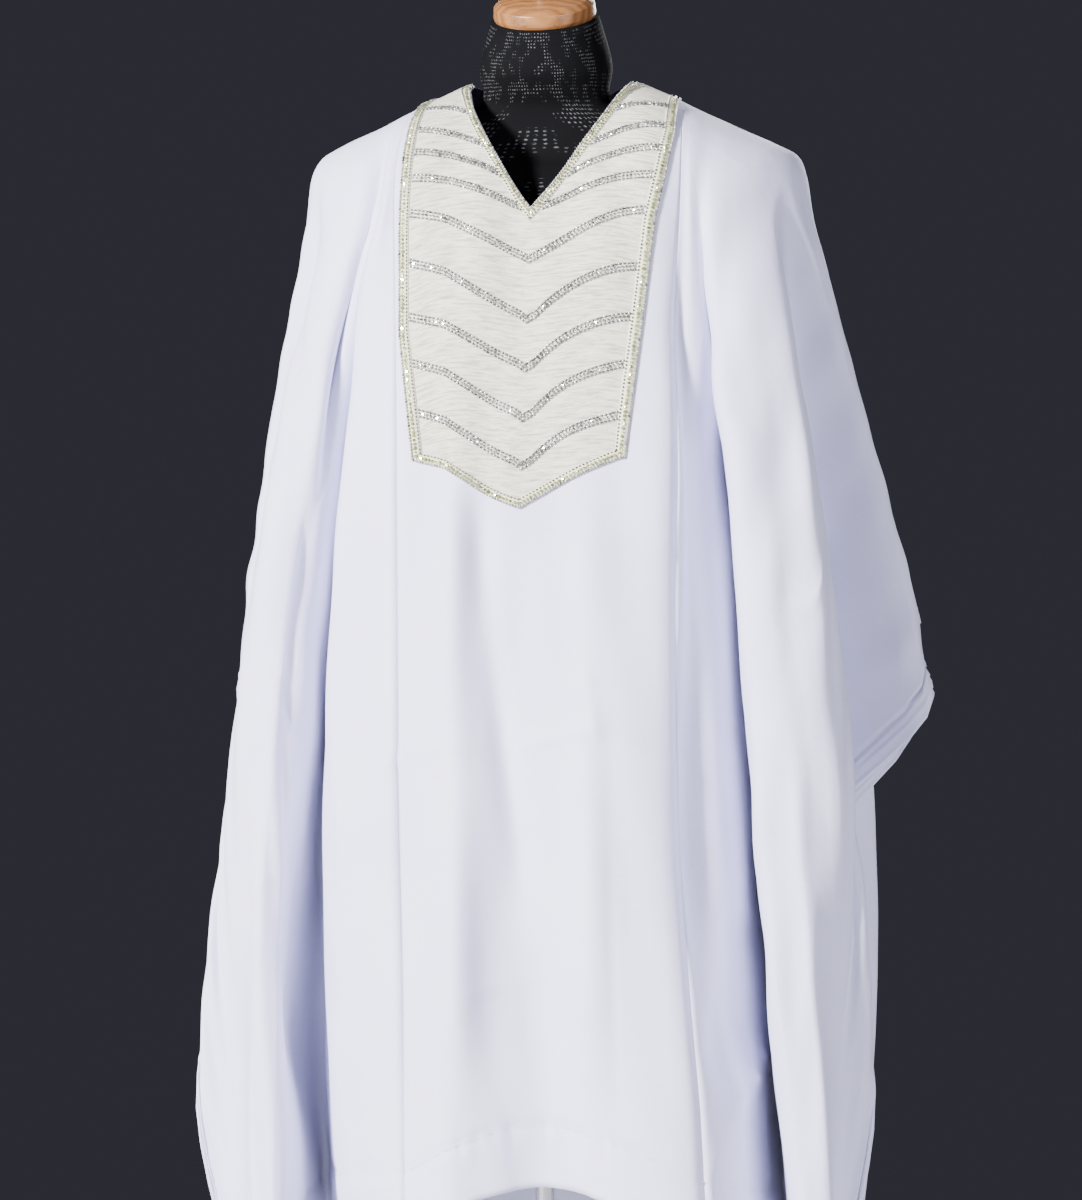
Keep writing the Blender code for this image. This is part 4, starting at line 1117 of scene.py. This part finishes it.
def bib_line(side, line, height):
    """Points and normals along a line, given by its starts and drops on one side."""
    column = middle_column(side * line[0], True)
    return cloth_points(Places(column, line[1] / of_lines("length", column)), height)


def stripe_line(side, stripe, offset):
    """Starts and drops along a stripe, this far below its middle."""
    row = stripe_row(stripe, side) + (offset, offset, 0)
    edge = bib_edge(side, row[1])
    beside, beside_drop = (float(v[0]) for v in beside_v(row[None], np.array([edge])))
    first = beside + STRIPE_INSET if stripe.inner < FRONT_NECK_DROP else 0.0
    start = np.linspace(first, edge - BORDER - STRIPE_INSET, STRIPE_POINTS)
    out = np.clip((start - beside) / (edge - beside), 0, 1)
    drop = beside_drop + (row[1] - beside_drop) * out + row[2] * bow_shape(out, side)
    return start, np.where(start < beside, row[0] + (beside_drop - row[0]) * start / beside, drop)


def tape(work, side, lines, look):
    """A tape over some lines of the bib."""
    laid = [bib_line(side, line, TAPE_LOW) for line in lines]
    points, normals = (np.stack([one[k] for one in laid], axis=1) for k in (0, 1))
    inside_out = np.cross(points[1, 0] - points[0, 0], points[0, 1] - points[0, 0]) @ normals[0, 0] > 0
    if inside_out:
        points, normals = points[::-1], normals[::-1]
    work.strip(points, normals, TAPE, look)


def beads_along(work, side, line, kind, step, size, look, turn=0.0, tint=0.5, margin=END_MARGIN):
    points, normals = bib_line(side, line, TAPE_LOW + TAPE + size[2] * BEAD_RAISED)
    points, normals = spaced(points, normals, step, margin)
    work.add(kind, points, local_frames(points, normals), size, look, turn * side, tint)


ROPE_OFFSET, ROPE_SLANT = 0.0034, 0.55
ROPE = (BEAD, 0.0020, (0.0012, 0.0008, 0.0008), 3)
CORD = (BEAD, 0.0040, (0.0014, 0.0013, 0.0013), 1)
STONE = (GEM, 0.0038, (0.0016, 0.0016, 0.0011), 2)


def stripe_piece(name, arms, stripe):
    work = Beading()
    for side in arms:
        lines = [stripe_line(side, stripe, offset) for offset in (-STRIPE / 2, 0.0, STRIPE / 2)]
        tape(work, side, lines, 0)
        for way in (-1, 1):
            line = stripe_line(side, stripe, way * ROPE_OFFSET)
            beads_along(work, side, line, *ROPE, -way * ROPE_SLANT, 0.3)
            beads_along(work, side, line, *CORD, -way * ROPE_SLANT, 0.6)
        beads_along(work, side, lines[1], *STONE, 0.3, 0.6, 2 * END_MARGIN)
    return work.build(name, [tape_look, silver, stones, rope])


stripe_pieces = {}
for k, stripe in enumerate(STRIPES):
    arms = {f"{k + 1}_left": [-1], f"{k + 1}_right": [1]} if k < SPLIT_STRIPES else {f"{k + 1}": [-1, 1]}
    for word, sides in arms.items():
        stripe_pieces[f"braid_{word}"] = stripe_piece(f"stripe_{word}", sides, stripe)


def bottom_drop(side, start, inset):
    """Drop of the bib's bottom edge at a start, set in square to it."""
    inner, outer, bow = bib_rows(side)[-1]
    edge = bib_edge(side, outer)
    out = np.clip(start / edge, 0, 1)
    drop = inner + (outer - inner) * out + bow * bow_shape(out, side)
    return drop - inset * math.hypot(1, (inner - outer) / edge)


def side_line(side, inset):
    """Down the bib's side edge, set in from it."""
    corner = bib_rows(side)[-1, 1]
    for _ in range(3):
        corner = bottom_drop(side, bib_edge(side, corner) - inset, inset)
    drop = np.linspace(BORDER_START, corner, SIDE_POINTS)
    return bib_edge(side, drop) - inset, drop


def bottom_line(side, inset):
    start = np.linspace(0.0, side_line(side, inset)[0][-1], BOTTOM_POINTS)
    return start, bottom_drop(side, start, inset)


def neck_line(side, inset):
    """Down the V's edge, set in square to it, to the centre."""
    drop = np.linspace(BORDER_START, FRONT_NECK_DROP, NECK_POINTS)
    slant = v_slant(drop)
    square = inset / np.hypot(1, slant)
    start, drop = v_half(drop) + square, drop + slant * square
    return np.append(start, 0.0), np.append(drop, drop[-1] + start[-1] / slant[-1])


BORDER_ROWS = (  # inset, kind, step, size, look, turn, tint
    (0.0012, BEAD, 0.0030, (0.0017, 0.0010, 0.0011), 1, 0.75, 0.55),
    (0.0045, GEM, 0.0040, (0.0018, 0.0018, 0.0010), 3, 0.2, 0.55),
    (0.0082, BEAD, 0.0036, (0.0012, 0.0008, 0.0008), 2, 0.0, 0.35),
)


def border_piece(name, *runs):
    work = Beading()
    for side in (-1, 1):
        for run in runs:
            tape(work, side, [run(side, BORDER * part) for part in BORDER_TAPE], 0)
            for inset, *row in BORDER_ROWS:
                beads_along(work, side, run(side, inset), *row)
    return work.build(name, [edge_tape, cord_white, rope, sequins])


neck_trim = border_piece("neck_edging", neck_line)
bib_trim = border_piece("bib_edging", side_line, bottom_line)

# --- the dress form and its stand
FORM_SQUARENESS = 2.3
FORM_SIDES = 96
SECTION_CUTS = 5  # between two sections
COVER_RADIUS = 0.085  # the cover's weave and dots are laid out round this
Section = namedtuple("Section", "z half_width half_depth y tilt")
TORSO = in_metres(  # the tilt is in thousandths
    Section, (800, 146, 92, 18, 0), (812, 158, 102, 18, 0), (860, 168, 108, 19, 0),
    (940, 170, 108, 20, 0), (1050, 150, 96, 18, 0), (1150, 160, 98, 14, 0),
    (1250, 180, 100, 12, 0), (1320, 196, 96, 18, 0), (1370, 212, 82, 24, 0),
    (1396, 217, 64, 27, 0), (1412, 206, 48, 27, 0), (1436, 158, 44, 27, 0),
    (1460, 78, 40, 18, 0), (1478, 63.5, 45, 10, 50), (1505, 66.5, 55, 6, 200),
    (1552, 53.5, 52, 0, 420),
)  # fmt: skip
NECK_TILT = math.atan(TORSO[-1].tilt)
CORNER_STEPS = (0, 0.33, 0.67, 1)
CORNER_MOST = 0.4
Corner = namedtuple("Corner", "radius height")
CAP_PROFILE = in_metres(
    Corner, (0, 0.3), (50.5, 0.3), (51.5, 4), (50.5, 14), (44, 19), (28, 22.5), (0, 23.5)
)  # fmt: skip
KNOB_PROFILE = in_metres(
    Corner, (0, 23.8), (12, 23.8), (11.5, 43), (16.5, 52), (16.5, 60), (10, 67), (0, 68.5)
)  # fmt: skip
POLE_PROFILE = in_metres(  # from its foot in the socket to the flange under the form
    Corner, (0, 6.3), (9.5, 6.3), (9.5, 780), (34, 793.7), (34, 799.7), (0, 799.7)
)  # fmt: skip
BASE_PROFILE = in_metres(  # the plate, its boss, and down into the socket
    Corner, (0, 0), (170, 0), (170, 8), (164, 12), (26, 12), (19, 18), (17, 45), (9.8, 45), (9.8, 6), (0, 6)
)  # fmt: skip


def oval(section):
    across, along = np.array(circle(FORM_SIDES)).T
    x, y = (np.sign(way) * np.abs(way) ** (2 / FORM_SQUARENESS) for way in (across, along))
    x, y = section.half_width * x, section.half_depth * y
    return np.stack((x, section.y + y, section.z + section.tilt * y), axis=1)


def finer_sections():
    """The torso's sections with smooth ones between."""
    table = np.array(TORSO)
    at = np.arange(len(table), dtype=float)
    fine = refine(at, [SECTION_CUTS] * (len(at) - 1), 0)
    slopes = np.gradient(table, axis=0)
    low = np.minimum(fine.astype(int), len(at) - 2)
    f = (fine - low)[:, None]
    bend = slopes[low] * (1 - f) - slopes[low + 1] * f
    return [Section(*row) for row in curved(table[low], table[low + 1], bend, f)]


def build_form():
    sections = finer_sections()
    ids = np.arange(len(sections) * FORM_SIDES).reshape(-1, FORM_SIDES).tolist()
    faces = [tuple(ids[0][::-1]), *ring_faces(ids), tuple(ids[-1])]
    round_it = np.arange(FORM_SIDES) * TURN / FORM_SIDES * COVER_RADIUS
    uv = np.vstack([np.stack((round_it, np.full(FORM_SIDES, one.z)), axis=1) for one in sections])
    points = np.vstack([oval(one) for one in sections])
    return new_object("form_cover", points, faces, [form_look()], uv)


def lathe(name, profile, look, sides, tilt=0.0, centre=(0.0, 0.0, 0.0), soften=0.0008):
    """A solid of revolution whose corners are softened, each by at most CORNER_MOST of its sides."""
    profile = np.array(profile, float)
    soft = [profile[0]]
    for before, here, after in zip(profile, profile[1:], profile[2:]):
        into, out = here - before, after - here
        size = min(soften, np.linalg.norm(into) * CORNER_MOST, np.linalg.norm(out) * CORNER_MOST)
        start = here - into / np.linalg.norm(into) * size
        end = here + out / np.linalg.norm(out) * size
        soft += [start * (1 - t) ** 2 + here * 2 * t * (1 - t) + end * t * t for t in CORNER_STEPS]
    points, faces = turned([*soft, profile[-1]], sides)
    x, y, z = points.T
    cos, sin = math.cos(tilt), math.sin(tilt)
    points = np.stack((x, y * cos - z * sin, y * sin + z * cos), axis=1) + centre
    return new_object(name, points, faces, [look])


form = build_form()
neck = (0.0, TORSO[-1].y, TORSO[-1].z)
wood = wood_look()
cap = lathe("wooden_cap", CAP_PROFILE, wood, 96, NECK_TILT, neck)
knob = lathe("wooden_knob", KNOB_PROFILE, wood, 64, NECK_TILT, neck, 0.0025)
pole_look = steel_look("brushed_tube", (0.46, 0.46, 0.48), (0.66, 0.66, 0.68), (1800, 1800, 12))
pole = lathe("steel_pole", POLE_PROFILE, pole_look, 48)
base_look = steel_look("brushed_plate", (0.36, 0.36, 0.38), (0.52, 0.52, 0.54), (14, 1500, 1500))
base = lathe("steel_base", BASE_PROFILE, base_look, 128, soften=0.0012)

# --- riding, and what each piece stands for
PIECES = (
    (left_cloth, "robe_cloth", "left_panel"),
    (right_cloth, "robe_cloth", "right_panel"),
    (centre_cloth, "robe_cloth", "centre_panel"),
    (left_stitches, "robe_cloth", None),
    (right_stitches, "robe_cloth", None),
    (centre_stitches, "robe_cloth", None),
    (bib, "bib_cloth", "bib"),
    (neck_trim, "border_trim", "neck_border"),
    (bib_trim, "border_trim", "bib_border"),
    (form, "form_cover", "form_torso"),
    (cap, "turned_wood", "neck_cap"),
    (knob, "turned_wood", "neck_knob"),
    (pole, "pole_steel", "pole"),
    (base, "base_steel", "base_plate"),
    *((made, "silver_braid", node) for node, made in stripe_pieces.items()),
)
for made, slot, node in PIECES:
    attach(made, "root")
    if node:
        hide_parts(node)

# --- floor, light and camera
floor_look = Look("pale_floor", (0.62, 0.62, 0.62), 0.7)
floor_look.colour(floor_look.noise("Object", 3.0), (0.60, 0.60, 0.60), (0.64, 0.64, 0.64))
FLOOR_RADIUS, FLOOR_Z = 2.0, -0.0005
floor_rim = [(FLOOR_RADIUS * x, FLOOR_RADIUS * y, FLOOR_Z) for x, y in circle(96)]
floor = new_object("floor", floor_rim, [tuple(range(len(floor_rim)))], [floor_look.material])

world = bpy.data.worlds.new("studio")
bpy.context.scene.world = world
world.use_nodes = True
background = world.node_tree.nodes["Background"]
background.inputs["Color"].default_value = (0.030, 0.030, 0.040, 1)
background.inputs["Strength"].default_value = 1.0

Lamp = namedtuple("Lamp", "name place aim size power colour")
LAMPS = (
    Lamp("key", (-2.4, -3.0, 2.2), (0.0, 0.0, 1.0), 0.7, 760, (1.0, 0.99, 0.98)),
    Lamp("right", (3.0, -2.6, 1.8), (0.0, 0.0, 0.9), 1.4, 130, (0.90, 0.91, 1.0)),
    Lamp("above", (0.2, 0.2, 3.6), (0.0, 0.0, 1.2), 1.6, 5, (0.96, 0.97, 1.0)),
    Lamp("behind", (0.2, 3.2, 2.2), (0.0, 0.0, 1.0), 2.0, 170, (1.0, 1.0, 1.0)),
)
for lamp in LAMPS:
    light = bpy.data.lights.new(lamp.name, "AREA")
    light.shape, light.size, light.energy, light.color = "DISK", lamp.size, lamp.power, lamp.colour
    made = bpy.data.objects.new(lamp.name, light)
    made.location = lamp.place
    made.rotation_euler = (Vector(lamp.aim) - Vector(lamp.place)).to_track_quat("-Z", "Y").to_euler()
    bpy.context.scene.collection.objects.link(made)

AZIMUTH = math.radians(9)
CAMERA_AWAY = 4.0
CAMERA_HEIGHT = 0.97
CAMERA_ASIDE = -0.004
HALF_HEIGHT = 0.6  # of what the picture shows, at the form
camera = bpy.data.cameras.new("camera")
camera.sensor_width = 36
camera.lens = camera.sensor_width / 2 * CAMERA_AWAY / HALF_HEIGHT
sin, cos = math.sin(AZIMUTH), math.cos(AZIMUTH)
view = bpy.data.objects.new("camera", camera)
view.location = (
    CAMERA_AWAY * sin + CAMERA_ASIDE * cos,
    -CAMERA_AWAY * cos + CAMERA_ASIDE * sin,
    CAMERA_HEIGHT,
)
view.rotation_euler = (math.pi / 2, 0, AZIMUTH)
bpy.context.scene.collection.objects.link(view)
bpy.context.scene.camera = view
